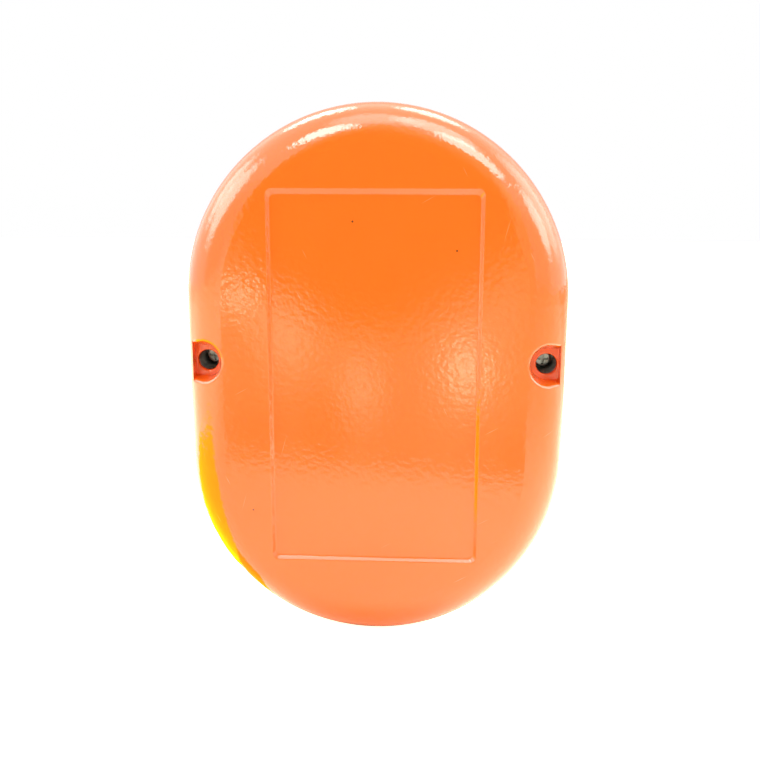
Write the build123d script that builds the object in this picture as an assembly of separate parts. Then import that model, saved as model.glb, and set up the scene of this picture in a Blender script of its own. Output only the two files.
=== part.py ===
from build123d import *
import os
from math import cos, pi, radians, sin, sqrt, tan

# A toy walkie talkie with a pill-shaped casing.
#
# Every piece is drawn lying on its back, in millimetres: x to the right as the front is
# looked at, y towards the top end, and z from the flat back towards the front. The last
# section stands each piece up, so that the length runs along +Z and the front faces -Y.

# ---- driving dimensions ----------------------------------------------------------------

# Casing
HALF_WIDTH = 46.0          # half the width, and the radius of both round ends
END_SPACING = 38.6         # between the centres of the round ends
BACK = -19.0               # flat back
PARTING = 1.0              # plane where the two shells meet
FACE = 17.0                # flat front
WALL = 2.2
BACK_ROUND = 10.0          # rounding of the back edge
FRONT_ROUND = 8.0          # rounding of the front edge
REVEAL = 0.3               # chamfer that draws the parting line
TONGUE = 0.9               # thickness of the front shell's locating tongue
TONGUE_HEIGHT = 1.8
TONGUE_GAP = 0.1           # side clearance of the tongue in its groove

# Empty label recess in the back
LABEL_WIDTH = 50.0
LABEL_HEIGHT = 89.6
LABEL_Y = 0.7
LABEL_CORNER = 1.4
LABEL_DEPTH = 0.9
LABEL_LEAN = 0.75          # how far the side and bottom walls lean in
LABEL_TOP_LEAN = 1.2       # how far the top wall leans in
LABEL_EDGE = 0.3           # rounding of the recess's mouth
LABEL_FOOT = 0.5           # rounding between its walls and floor

# Side wells that hide the two case screws
WELL_X = 41.2
WELL_Y = 4.3
WELL_FLOOR = -11.3
WELL_FLOOR_HALF = 3.75     # half width of the well at its floor
WELL_MOUTH_HALF = 5.35     # half width of the well just outside the back
WELL_MOUTH_OUT = 0.3       # how far the mouth is shifted outward from the floor
WELL_MOUTH_UP = 1.0        # how far the mouth is shifted upward from the floor
WELL_SIDE = 44.1           # x of the straight wall that closes the well's outer side
WELL_RUN = 12.0
WELL_SKIN = 1.9            # thickness of the well's own walls
WELL_EDGE = 0.8            # rounding of the well's mouth
BORE = 2.5                 # radius of the hole down to the screw
BORE_LIP = 1.2             # plastic left above the ferrule
BORE_EDGE = 0.35           # rounding of the hole's mouth
BOSS = 4.9
FERRULE = 3.15             # outer radius of the steel ferrule
FERRULE_END = 0.1          # z of the ferrule's closed end
FERRULE_FLOOR = 1.6        # thickness of the closed end
CASE_POST = 4.2
RIB_SPOTS = (-36.0, -10.0) # y of the two ribs that bear on the battery cells
RIB_HALF_LENGTH = 22.0
RIB_HALF = 0.7

# Speaker, behind a grille of round holes
SPEAKER_Y = 27.0
SPEAKER = 20.0             # outer radius of the speaker's flange
GRILLE_HOLE = 1.5
GRILLE_STEP = 5.5          # between the rings of holes
GRILLE_RINGS = 3
GRILLE_DISH = 21.0
EAR_REACH = 24.5           # from the speaker's axis to the screws of its bracket
EAR_ANGLES = (30, 150, 210, 330)
EAR = 3.0
BRACKET_TOP = 12.3         # front of the speaker's bracket
BRACKET_SKIN = 1.5
FLANGE_HIGH = 13.2         # front of the pan's flange
PAN_FLOOR = 3.0            # z of the pan's back, where the magnet is fixed
PAN_SKIN = 0.8
MAGNET = 9.5
SHELF_REACH = 16.5         # from the speaker's axis to the outer edge of its terminal shelf
SHELF_TOP = 8.2
CONE_EDGE = 16.6           # radius of the cone at its rim
CONE_NECK = 6.0
CONE_DEPTH = 4.6
CONE_SKIN = 0.45

# Raised rings on the face
PTT_BEZEL = 0.8
SMALL_BEZEL = 0.5
BEZEL_ROOT = 0.5           # how deep a raised ring starts below the face

# Push-to-talk button
PTT_Y = -28.0
PTT = 17.0
PTT_TOP = 19.0
PTT_TRAVEL = 1.0
PTT_FLANGE = 1.6           # width of the flange that stops it from falling out
PTT_FLANGE_LOW = 13.2
PTT_CEILING = 16.6         # inside of the hollow button
PTT_WALL = 2.0
PTT_STEM = 2.0
THUMB_DISH = 90.0          # radius of the hollow for the thumb
THUMB_DEPTH = 0.9
GUIDE_LOW = 10.5           # end of the button's guide

# Call button, lamp and volume knob, in one row
CONTROL_Y = -2.0
CALL_X = -22.0
CALL = 5.5
CALL_TOP = 18.7
CALL_TRAVEL = 0.8
CALL_FLANGE = 1.1
CALL_FLANGE_LOW = 13.4
CALL_STEM = 1.6
BUTTON_GAP = 0.3           # running clearance round the buttons
STOP_GAP = 0.1             # left between a stem and its switch at the end of the stroke
LENS = 2.0
LENS_DOME = 2.6
LED = 1.5
LED_HIGH = 11.2
KNOB_X = 22.0
KNOB = 7.4
KNOB_LOW = 13.4
KNOB_TOP = 19.0
KNOB_FLUTES = 18
KNOB_CUP = KNOB + 1.1      # radius of the hollow that the knob sits in
KNOB_CUP_FLOOR = 13.0
KNOB_CUP_SKIN = 1.6
BUSH = 3.4                 # radius of the potentiometer's bush
SHAFT = 3.0
SHAFT_LOW = 8.0
SHAFT_TOP = 17.4
SHAFT_FLAT = 1.6           # from the axis to the flat that drives the knob
POT_HIGH = 11.2

# Return springs and push switches under the two buttons
SPRING_OUTER = 5.4
SPRING_INNER = 4.6
SWITCH_HALF = 3.0
SWITCH_TOP = 10.0
PLUNGER = 1.7
PLUNGER_TIP = 10.9

# Microphone
MIC_Y = -53.0
MIC = 3.0
MIC_LOW = 11.6
MIC_HIGH = 14.2
MIC_HOLE = 0.7
MIC_HOLE_STEP = 2.2
MIC_BOOT = 4.6

# Circuit board
BOARD_BACK = 4.9
BOARD_FRONT = 6.5
BOARD_HALF = 31.0
BOARD_LOW = -48.0
BOARD_HIGH = 5.0
BOARD_CORNER = 2.5
CHIP_HALF = 1.95
CHIP_STAND = 0.15          # gap below a chip's body
CHIP_HEIGHT = 1.5
CHIP_PITCH = 1.27
CHIP_SPOTS = {"audio_chip": (-10.2, PTT_Y, 8), "radio_chip": (10.2, PTT_Y, 12)}
COIL_CAN_SPOTS = ((-26.2, -28.0), (26.2, -28.0))
COIL_CAN_HALF = 3.5
COIL_CAN_HEIGHT = 7.0
CAPACITOR_SPOTS = ((-27.3, -36.5), (27.3, -36.5), (-9.5, CONTROL_Y))
CAPACITOR = 2.5
CAPACITOR_HEIGHT = 6.5
DISC_SPOTS = ((-5.0, -14.5), (5.0, -14.5), (-6.0, -41.5), (12.0, -39.0))
DISC = 2.1
RESISTOR_SPOTS = ((-8.0, -18.6), (8.0, -18.6), (-12.0, -36.5), (9.0, CONTROL_Y - 3.5))
RESISTOR = 0.95
LEAD = 0.3                 # radius of the components' leads
CRYSTAL_Y = -38.0
CRYSTAL_LENGTH = 11.0
CRYSTAL_WIDTH = 4.6

# Screws: radius and height of the head, radius and length of the shank
CASE_SCREW = (2.3, 1.9, 1.3, 10.5)
BRACKET_SCREW = (2.1, 1.3, 1.0, 4.8)
BOARD_SCREW = (2.1, 1.4, 1.0, 6.5)
TRAY_SCREW = (2.1, 1.4, 1.0, 8.0)
SCREW_SEAT = 0.02          # air under a screw's head
POST = 3.0                 # radius of the posts for the small screws
PILOT = 1.05               # radius of their holes
PASSAGE = 1.15             # radius of the holes the small screws pass through
POST_BASE = 0.5            # how far a post runs into the front wall

# Battery tray, open towards the back
TRAY_HALF = 24.5
TRAY_LOW = -52.0
TRAY_HIGH = 7.0
TRAY_RIM = -14.0
TRAY_SKIN = 1.5
CELL = 7.1                 # radius of an AA cell
CELL_LENGTH = 49.5         # without its nub
CELL_NUB = 1.0
CELL_PITCH = 15.2
CELL_Z = -8.0
CONTACT = 0.5              # thickness of the contact plates
CONTACT_HALF = 5.0
TAG_Z = -6.0               # solder tags and the wires that start on them
TAG_HALF = 1.5
TAG_SLOT = 1.7             # half width of the slots for the solder tags
TAG_OUT = 1.8              # how far a tag stands out of the tray
CELL_SPRING_WIDE = 4.4
CELL_SPRING_NARROW = 2.6
CELL_SPRING_WIRE = 0.6
TRAY_ARM = 3.2

# Antenna coil, across the top end
ANTENNA_Y = 51.5
ANTENNA_Z = 4.0
ANTENNA = 4.0
ANTENNA_HALF = 20.0
ANTENNA_BORE = 2.6
COIL = 4.9
COIL_HALF = 10.5
CHEEK = 5.2                # radius of the discs that hold the winding
CHEEK_WIDTH = 1.0
CLIP_SPOTS = (-14.0, 14.0)
CLIP_HALF = 1.2

# Insulated wires
WIRE = 0.6                 # radius of the insulation
THIN_WIRE = 0.45

# Small gaps between pieces that are assembled and do not move
FIT = 0.05

# ---- worked out from the above ---------------------------------------------------------

INNER_BACK = BACK + WALL
INNER_FACE = FACE - WALL
TRAY_FLOOR = PARTING - TRAY_SKIN
FLANGE_TOP = INNER_FACE - 0.1             # flanges of the buttons rest behind the front wall
ON_BOARD = BOARD_FRONT + FIT              # where components and wires stand on the board
CELL_TOP_END = TRAY_HIGH - TRAY_SKIN      # inner faces of the tray's two end walls
CELL_LOW_END = TRAY_LOW + TRAY_SKIN
TAG_REACH = TRAY_SKIN + TAG_OUT + FIT
WIRE_RISE = 3.3                           # wires come down on the board from this height
CELL_X = (-CELL_PITCH, 0.0, CELL_PITCH)
BOARD_SCREWS = ((-27.0, -17.0), (27.0, -17.0), (-24.0, -44.0), (24.0, -44.0))
TRAY_SCREWS = ((-35.5, -6.0), (35.5, -6.0), (-35.5, -30.0), (35.5, -30.0))
EAR_SPOTS = [(EAR_REACH * cos(radians(angle)), SPEAKER_Y + EAR_REACH * sin(radians(angle)))
             for angle in EAR_ANGLES]


# ---- shapes used throughout ------------------------------------------------------------

def outline(inset):
    """The casing's pill shape, drawn in by inset."""
    return SlotCenterToCenter(END_SPACING, 2 * (HALF_WIDTH - inset), rotation=90)


def slab(sketch, low, high):
    """A sketch raised from z = low to z = high."""
    return extrude(Pos(0, 0, low) * sketch, amount=high - low)


def peg(x, y, radius, low, high):
    """A round pin that stands along z."""
    return Pos(x, y, (low + high) / 2) * Cylinder(radius, high - low)


def ring(x, y, outer, inner, low, high):
    return peg(x, y, outer, low, high) - peg(x, y, inner, low, high)


def block(x_range, y_range, z_range):
    """A box between three pairs of coordinates."""
    centre = [sum(pair) / 2 for pair in (x_range, y_range, z_range)]
    size = [pair[1] - pair[0] for pair in (x_range, y_range, z_range)]
    return Pos(*centre) * Box(*size)


def pill_solid(low, high, inset, edge_round, rounded_end):
    """A solid of the pill outline with one flat end rounded over."""
    solid = slab(outline(inset), low, high)
    levels = solid.edges().group_by(Axis.Z)
    return fillet(levels[rounded_end], edge_round)


def group(pieces):
    """Separate solids that share one node."""
    solids = [solid for piece in pieces for solid in piece.solids()]
    return Compound(children=solids)


def tapping_screw(x, y, seat, sizes):
    """A pan-head screw with a cross recess, driven towards the front. Its head bears on z = seat."""
    head, head_height, shank, length = sizes
    screw = peg(0, 0, head, 0, head_height)
    screw = fillet(screw.edges().group_by(Axis.Z)[0], head_height * 0.4)
    screw += peg(0, 0, shank, head_height / 2, head_height + length)
    point = screw.faces().sort_by(Axis.Z)[-1]
    screw = chamfer(point.edges(), shank * 0.6)
    recess = Box(head * 1.3, head * 0.3, head_height * 0.6)
    for turn in (0, 90):
        screw -= Pos(0, 0, head_height * 0.3) * Rot(0, 0, turn) * recess
    return Pos(x, y, seat - SCREW_SEAT - head_height) * screw


def bend_radii(points):
    """For each corner of a route, the largest tangent arc that its two runs leave room for."""
    radii = []
    for before, corner, after in zip(points, points[1:], points[2:]):
        run_in = Vector(*corner) - Vector(*before)
        run_out = Vector(*after) - Vector(*corner)
        half_turn = radians(run_in.get_angle(run_out)) / 2
        radii.append(0.45 * min(run_in.length, run_out.length) / tan(half_turn))
    return radii


def wire(name, points, radius):
    """An insulated wire: straight runs joined by tangent arcs."""
    radii = bend_radii(points)
    path = FilletPolyline(*points, radius=radii)
    start = Plane(origin=path @ 0, z_dir=path % 0)
    tube = sweep(start * Circle(radius), path=path)
    print(name, "bend radii", [round(value, 1) for value in radii],
          "volume ratio", round(tube.volume / (pi * radius ** 2 * path.length), 3))
    return tube


# ---- casing ----------------------------------------------------------------------------

def well(grow):
    """The D-shaped, tapered space of the right-hand well, drawn outward by grow."""
    middle = WELL_X + WELL_RUN / 2
    low = WELL_FLOOR + grow
    high = BACK - 1
    floor = SlotCenterToCenter(WELL_RUN, 2 * (WELL_FLOOR_HALF + grow))
    mouth = SlotCenterToCenter(WELL_RUN, 2 * (WELL_MOUTH_HALF + grow))
    space = loft([Pos(middle, WELL_Y, low) * floor,
                  Pos(middle + WELL_MOUTH_OUT, WELL_Y + WELL_MOUTH_UP, high) * mouth])
    return space & block((0, WELL_SIDE + grow), (WELL_Y - 20, WELL_Y + 20), (high, low))


def label_recess():
    """A shallow space whose walls lean in, the top one more than the others."""
    mouth = RectangleRounded(LABEL_WIDTH, LABEL_HEIGHT, LABEL_CORNER)
    floor = RectangleRounded(LABEL_WIDTH - 2 * LABEL_LEAN, LABEL_HEIGHT - LABEL_LEAN - LABEL_TOP_LEAN,
                             LABEL_CORNER)
    drop = (LABEL_TOP_LEAN - LABEL_LEAN) / 2
    return loft([Pos(0, LABEL_Y, BACK) * mouth, Pos(0, LABEL_Y - drop, BACK + LABEL_DEPTH) * floor])


def both_sides(piece):
    """A piece and its mirror image across the casing's middle plane."""
    return [piece, mirror(piece, about=Plane.YZ)]


def edges_of_well_mouth(shell):
    """The edges where the wells open through the casing's rounded side."""
    reach = WELL_MOUTH_HALF + 1
    near = [edge for edge in shell.edges()
            if abs(edge.center().X) > WELL_X - reach and abs(edge.center().Y - WELL_Y) < reach
            and edge.center().Z < WELL_FLOOR - 0.5]
    return [edge for edge in near if edge.geom_type in (GeomType.ELLIPSE, GeomType.BSPLINE)]


def label_edges(shell, level):
    """The outline of the recess at one height."""
    return [edge for edge in shell.edges()
            if abs(edge.center().Z - level) < 0.01 and abs(edge.center().X) < LABEL_WIDTH / 2 + 1
            and abs(edge.center().Y) < LABEL_HEIGHT / 2 + 2]


def bore_mouths(shell):
    """The edges where the screw holes leave the floors of the wells."""
    return [edge for edge in shell.edges().filter_by(GeomType.CIRCLE)
            if abs(edge.radius - BORE) < 0.01 and abs(edge.center().Z - WELL_FLOOR) < 0.01]


def back_outside():
    """The back shell's outer form, still solid: wells, label recess and screw holes."""
    shell = pill_solid(BACK, PARTING, 0, BACK_ROUND, 0)
    for solid in both_sides(well(0)):
        shell -= solid
    shell = fillet(edges_of_well_mouth(shell), WELL_EDGE)
    shell -= label_recess()
    shell = fillet(label_edges(shell, BACK), LABEL_EDGE)
    shell = fillet(label_edges(shell, BACK + LABEL_DEPTH), LABEL_FOOT)
    for solid in both_sides(peg(WELL_X, WELL_Y, BORE, WELL_FLOOR - 1, PARTING + 1)):
        shell -= solid
    return fillet(bore_mouths(shell), BORE_EDGE)


def back_hollow():
    """The room inside the back shell, which leaves the walls of the wells and two bosses."""
    hollow = pill_solid(INNER_BACK, PARTING + 1, WALL, BACK_ROUND - WALL, 0)
    for solid in both_sides(well(WELL_SKIN) + peg(WELL_X, WELL_Y, BOSS, WELL_FLOOR, PARTING + 1)):
        hollow -= solid
    return hollow


def back_shell():
    shell = back_outside() - back_hollow()
    for solid in both_sides(peg(WELL_X, WELL_Y, FERRULE + FIT, WELL_FLOOR + BORE_LIP, PARTING + 1)):
        shell -= solid
    groove = lip_outline(WALL - TONGUE - TONGUE_GAP, WALL + 2 * TONGUE_GAP, BOSS)
    shell -= slab(groove, PARTING - TONGUE_HEIGHT - 2 * TONGUE_GAP, PARTING + 1)
    for y in RIB_SPOTS:
        shell += block((-RIB_HALF_LENGTH, RIB_HALF_LENGTH), (y - RIB_HALF, y + RIB_HALF),
                       (INNER_BACK - 0.5, CELL_Z - CELL - 0.3))
    return chamfer(outer_parting_edges(shell), REVEAL)


def lip_outline(outer_inset, inner_inset, boss_radius):
    """A band along the casing's wall, broken off at the two screw bosses."""
    band = outline(outer_inset) - outline(inner_inset)
    for x in (-WELL_X, WELL_X):
        band -= Pos(x, WELL_Y) * Circle(boss_radius)
    return band


def outer_parting_edges(shell):
    """The outermost edges at the parting plane."""
    level = [edge for edge in shell.edges() if abs(edge.center().Z - PARTING) < 0.01]
    return [edge for edge in level
            if abs(distance_from_spine(edge @ 0.5) - HALF_WIDTH) < 0.01]


def distance_from_spine(point):
    """How far a point lies from the line that joins the centres of the round ends."""
    beyond = max(0.0, abs(point.Y) - END_SPACING / 2)
    return sqrt(point.X ** 2 + beyond ** 2)


def grille_spots():
    """One hole in the middle and rings of six, twelve and eighteen round it."""
    spots = [(0.0, SPEAKER_Y)]
    for level in range(1, GRILLE_RINGS + 1):
        for index in range(6 * level):
            angle = 2 * pi * index / (6 * level)
            reach = level * GRILLE_STEP
            spots.append((reach * cos(angle), SPEAKER_Y + reach * sin(angle)))
    return spots


def front_shell():
    outside = pill_solid(PARTING, FACE, 0, FRONT_ROUND, -1)
    shell = outside - pill_solid(PARTING - 1, INNER_FACE, WALL, FRONT_ROUND - WALL, -1)
    tongue = lip_outline(WALL - TONGUE, WALL, BOSS + 2 * TONGUE_GAP)
    shell += slab(tongue, PARTING - TONGUE_HEIGHT, PARTING + 1)
    shell = chamfer(outer_parting_edges(shell), REVEAL)
    shell = front_posts(shell, outside)
    shell = speaker_opening(shell)
    shell = control_openings(shell)
    return shell


def front_posts(shell, outside):
    """Posts for the case, board and tray screws, and the clips that hold the antenna."""
    base = INNER_FACE + POST_BASE
    case_post = peg(WELL_X, WELL_Y, CASE_POST, PARTING + 2 * FIT, base) & outside
    case_post += peg(WELL_X, WELL_Y, FERRULE - FIT, FERRULE_END + 2 * FIT, PARTING + 1)
    for post in both_sides(case_post):
        shell += post
    for x, y in BOARD_SCREWS:
        shell += peg(x, y, POST, ON_BOARD, base)
    for x, y in TRAY_SCREWS:
        shell += peg(x, y, POST, PARTING + FIT, base)
    for x in CLIP_SPOTS:
        shell += block((x - CLIP_HALF, x + CLIP_HALF), (ANTENNA_Y - 5.0, ANTENNA_Y + 4.6),
                       (ANTENNA_Z - 2.2, base))
    shell -= lengthwise(ANTENNA + FIT, -ANTENNA_HALF, ANTENNA_HALF)
    for x in (-WELL_X, WELL_X):
        shell -= peg(x, WELL_Y, CASE_SCREW[2] + FIT, FERRULE_END, 10.0)
    for x, y in BOARD_SCREWS + TRAY_SCREWS:
        shell -= peg(x, y, PILOT, PARTING, 12.5)
    return shell


def speaker_opening(shell):
    """Dished grille with a raised rim, and behind it the speaker's seat and four posts."""
    shell += ring(0, SPEAKER_Y, GRILLE_DISH + 2.0, GRILLE_DISH, FACE - BEZEL_ROOT, FACE + SMALL_BEZEL)
    shell -= peg(0, SPEAKER_Y, GRILLE_DISH, FACE - 0.6, FACE + 1)
    for x, y in grille_spots():
        shell -= peg(x, y, GRILLE_HOLE, INNER_FACE - 1, FACE)
    base = INNER_FACE + POST_BASE
    shell += ring(0, SPEAKER_Y, SPEAKER + 1.8, SPEAKER + 0.4, BRACKET_TOP + FIT, base)
    for x, y in EAR_SPOTS:
        shell += peg(x, y, EAR, BRACKET_TOP + FIT, base)
        shell -= peg(x, y, PILOT, BRACKET_TOP - 1, FACE - 0.9)
    return shell


def control_openings(shell):
    """Openings for the buttons, the knob's cup, the lamp and the microphone."""
    base = INNER_FACE + POST_BASE
    root = FACE - BEZEL_ROOT
    outer = PTT + PTT_FLANGE + 1.7
    shell += ring(0, PTT_Y, outer, PTT + BUTTON_GAP, root, FACE + PTT_BEZEL)
    shell += ring(0, PTT_Y, outer, PTT + PTT_FLANGE + BUTTON_GAP, GUIDE_LOW, base)
    shell -= peg(0, PTT_Y, PTT + BUTTON_GAP, INNER_FACE - 1, FACE + 2)
    shell += ring(CALL_X, CONTROL_Y, CALL + 1.9, CALL + BUTTON_GAP, root, FACE + SMALL_BEZEL)
    shell -= peg(CALL_X, CONTROL_Y, CALL + BUTTON_GAP, INNER_FACE - 1, FACE + 2)
    shell += peg(KNOB_X, CONTROL_Y, KNOB_CUP + 1.8, KNOB_CUP_FLOOR - KNOB_CUP_SKIN, root)
    shell -= peg(KNOB_X, CONTROL_Y, KNOB_CUP, KNOB_CUP_FLOOR, FACE + 1)
    shell -= peg(KNOB_X, CONTROL_Y, BUSH + 0.2, KNOB_CUP_FLOOR - 3, FACE)
    shell -= peg(0, CONTROL_Y, LENS + FIT, INNER_FACE - 1, FACE + 1)
    shell += ring(0, MIC_Y, MIC_BOOT + 1.4, MIC_BOOT + 0.1, 12.5, base)
    for step in (-1, 0, 1):
        shell -= peg(step * MIC_HOLE_STEP, MIC_Y, MIC_HOLE, INNER_FACE - 1, FACE + 1)
    return shell


def ferrule():
    """A drawn steel cup that lines the right-hand screw hole."""
    cup = peg(WELL_X, WELL_Y, FERRULE, WELL_FLOOR + BORE_LIP + FIT, FERRULE_END)
    cup -= peg(WELL_X, WELL_Y, BORE, WELL_FLOOR, FERRULE_END - FERRULE_FLOOR)
    return cup - peg(WELL_X, WELL_Y, 1.45, FERRULE_END - 3, FERRULE_END + 1)


def case_screws():
    seat = FERRULE_END - FERRULE_FLOOR
    return group(tapping_screw(x, WELL_Y, seat, CASE_SCREW) for x in (-WELL_X, WELL_X))


# ---- controls --------------------------------------------------------------------------

def ptt_button():
    """The big round button: dished for the thumb, hollow, with a stem over its switch."""
    button = peg(0, PTT_Y, PTT, PTT_FLANGE_LOW, PTT_TOP)
    button = fillet(button.edges().group_by(Axis.Z)[-1], 1.4)
    button -= Pos(0, PTT_Y, PTT_TOP + THUMB_DISH - THUMB_DEPTH) * Rot(90, 0, 0) * Sphere(THUMB_DISH)
    button += peg(0, PTT_Y, PTT + PTT_FLANGE, PTT_FLANGE_LOW, FLANGE_TOP)
    button -= peg(0, PTT_Y, PTT - PTT_WALL, PTT_FLANGE_LOW - 1, PTT_CEILING)
    for turn in (0, 90):
        rib = Rot(0, 0, turn) * Box(2 * PTT - 3, 1.2, 1.6)
        button += Pos(0, PTT_Y, PTT_CEILING - 0.6) * rib
    button -= ring(0, PTT_Y, SPRING_OUTER + 0.4, PTT_STEM + 1, PTT_CEILING - 3, PTT_CEILING)
    stem_tip = PLUNGER_TIP + PTT_TRAVEL + STOP_GAP
    return button + peg(0, PTT_Y, PTT_STEM, stem_tip, PTT_CEILING + 0.5)


def call_button():
    button = peg(CALL_X, CONTROL_Y, CALL, CALL_FLANGE_LOW, CALL_TOP)
    button = fillet(button.edges().group_by(Axis.Z)[-1], 0.9)
    button += peg(CALL_X, CONTROL_Y, CALL + CALL_FLANGE, CALL_FLANGE_LOW, FLANGE_TOP)
    stem_tip = PLUNGER_TIP + CALL_TRAVEL + STOP_GAP
    return button + peg(CALL_X, CONTROL_Y, CALL_STEM, stem_tip, CALL_FLANGE_LOW + 0.5)


def return_spring(x, y, high):
    """The space of a coil spring that stands on the board round a switch."""
    return ring(x, y, SPRING_OUTER, SPRING_INNER, ON_BOARD, high - FIT)


def push_switch(x, y):
    """A small tactile switch: square body, clamped cover and a round plunger."""
    half = SWITCH_HALF
    body = block((x - half, x + half), (y - half, y + half), (ON_BOARD, SWITCH_TOP - 0.4))
    half = SWITCH_HALF - 0.2
    cover = block((x - half, x + half), (y - half, y + half), (SWITCH_TOP - 0.5, SWITCH_TOP))
    return body + cover + peg(x, y, PLUNGER, SWITCH_TOP - 0.5, PLUNGER_TIP)


def shaft_solid(radius, low, high, flat):
    """A round shaft with a flat along its upper part."""
    shaft = peg(KNOB_X, CONTROL_Y, radius, low, high)
    cut_x = (KNOB_X - 2 * SHAFT, KNOB_X + 2 * SHAFT)
    return shaft - block(cut_x, (CONTROL_Y + flat, CONTROL_Y + 2 * SHAFT), (KNOB_LOW + 0.2, high + 1))


def volume_shaft():
    return shaft_solid(SHAFT, SHAFT_LOW + FIT, SHAFT_TOP, SHAFT_FLAT)


def volume_knob():
    knob = peg(KNOB_X, CONTROL_Y, KNOB, KNOB_LOW, KNOB_TOP)
    knob = fillet(knob.edges().group_by(Axis.Z)[-1], 0.8)
    for index in range(KNOB_FLUTES):
        angle = 2 * pi * (index + 0.5) / KNOB_FLUTES
        x = KNOB_X + (KNOB + 0.35) * cos(angle)
        y = CONTROL_Y + (KNOB + 0.35) * sin(angle)
        knob -= peg(x, y, 0.75, KNOB_LOW - 1, KNOB_TOP + 1)
    pointer = Rot(0, 0, 225) * Pos(4.3, 0, 0) * Box(4.2, 1.0, 0.8)
    knob -= Pos(KNOB_X, CONTROL_Y, KNOB_TOP) * pointer
    return knob - shaft_solid(SHAFT + 0.02, KNOB_LOW - 1, SHAFT_TOP + FIT, SHAFT_FLAT + 0.02)


def volume_potentiometer():
    """Body on the board and a bush that reaches through the cup's floor."""
    body = block((KNOB_X - 5.5, KNOB_X + 5.5), (CONTROL_Y - 6.0, CONTROL_Y + 5.0), (ON_BOARD, POT_HIGH))
    body = fillet(body.edges().filter_by(Axis.Z), 1.0)
    body += peg(KNOB_X, CONTROL_Y, BUSH, POT_HIGH - 0.2, KNOB_CUP_FLOOR + 0.1)
    return body - peg(KNOB_X, CONTROL_Y, SHAFT + FIT, SHAFT_LOW, FACE)


def led_lens():
    """A light pipe with a domed end and a flange behind the face."""
    lens = peg(0, CONTROL_Y, LENS, 13.0, FACE)
    dome = Pos(0, CONTROL_Y, FACE + 0.9 - LENS_DOME) * Rot(90, 0, 0) * Sphere(LENS_DOME)
    lens += dome & peg(0, CONTROL_Y, LENS, FACE - 0.5, FACE + 2)
    return lens + peg(0, CONTROL_Y, LENS + 0.9, 13.6, INNER_FACE - FIT)


def led():
    lamp = peg(0, CONTROL_Y, LED, ON_BOARD, LED_HIGH)
    lamp += Pos(0, CONTROL_Y, LED_HIGH) * Sphere(LED, arc_size1=0)
    return lamp + peg(0, CONTROL_Y, LED + 0.4, ON_BOARD, ON_BOARD + 1.0)


# ---- speaker and microphone ------------------------------------------------------------

def turned(points):
    """A solid of revolution round the speaker's axis, from (radius, z) points."""
    profile = make_face(Polyline(*[(radius, 0, height) for radius, height in points], close=True))
    return Pos(0, SPEAKER_Y, 0) * revolve(profile, axis=Axis.Z)


def grille_felt():
    return peg(0, SPEAKER_Y, SPEAKER + 0.2, INNER_FACE - 0.5, INNER_FACE - FIT)


def speaker_gasket():
    return ring(0, SPEAKER_Y, SPEAKER, CONE_EDGE + 0.9, FLANGE_HIGH + FIT, INNER_FACE - 0.55)


def speaker_frame():
    """A pressed pan with four windows and a shelf for the two terminals."""
    low = BRACKET_TOP
    inside = [(SPEAKER, FLANGE_HIGH), (CONE_EDGE + 0.5, FLANGE_HIGH), (CONE_EDGE - 1.0, low - PAN_SKIN),
              (MAGNET, PAN_FLOOR + PAN_SKIN), (EAR, PAN_FLOOR + PAN_SKIN)]
    outside = [(EAR, PAN_FLOOR), (MAGNET + 0.4, PAN_FLOOR), (CONE_EDGE - 0.2, low - PAN_SKIN),
               (CONE_EDGE + 0.2, low), (SPEAKER, low)]
    pan = turned(inside + outside)
    for turn in (45, 135, 225, 315):
        window = Rot(0, 0, turn) * Pos(13.0, 0, 0) * Box(5.5, 9.0, 12.0)
        window &= peg(0, 0, CONE_EDGE - 1.6, -9, 9)
        pan -= Pos(0, SPEAKER_Y, 7.0) * window
    shelf_y = (SPEAKER_Y - SHELF_REACH, SPEAKER_Y - 12.6)
    return pan + block((-5.5, 5.5), shelf_y, (SHELF_TOP - PAN_SKIN, SHELF_TOP))


def speaker_cone():
    """Paper cone with a rolled surround at its rim and a domed cap in the middle."""
    rim = FLANGE_HIGH - 0.5
    neck = rim - CONE_DEPTH
    front = [(CONE_EDGE, rim), (CONE_EDGE, rim + CONE_SKIN), (CONE_EDGE - 1.2, rim + CONE_SKIN),
             (CONE_EDGE - 2.4, rim - 0.2), (CONE_NECK, neck + CONE_SKIN), (0, neck + CONE_SKIN)]
    back = [(0, neck), (CONE_NECK, neck), (CONE_EDGE - 2.2, rim - 0.2 - CONE_SKIN)]
    cone = turned(front + back)
    cap_radius = 8.0
    cap = Pos(0, SPEAKER_Y, neck + 2.0 - cap_radius) * Sphere(cap_radius)
    return cone + (cap & peg(0, SPEAKER_Y, CONE_NECK, neck + 0.1, rim))


def speaker_magnet():
    """Ferrite ring between two steel plates, on the back of the pan."""
    magnet = ring(0, SPEAKER_Y, MAGNET, 3.0, PAN_FLOOR - 5.5, PAN_FLOOR - FIT)
    return magnet + peg(0, SPEAKER_Y, MAGNET - 1.0, PAN_FLOOR - 6.3, PAN_FLOOR - 5.4)


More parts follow.
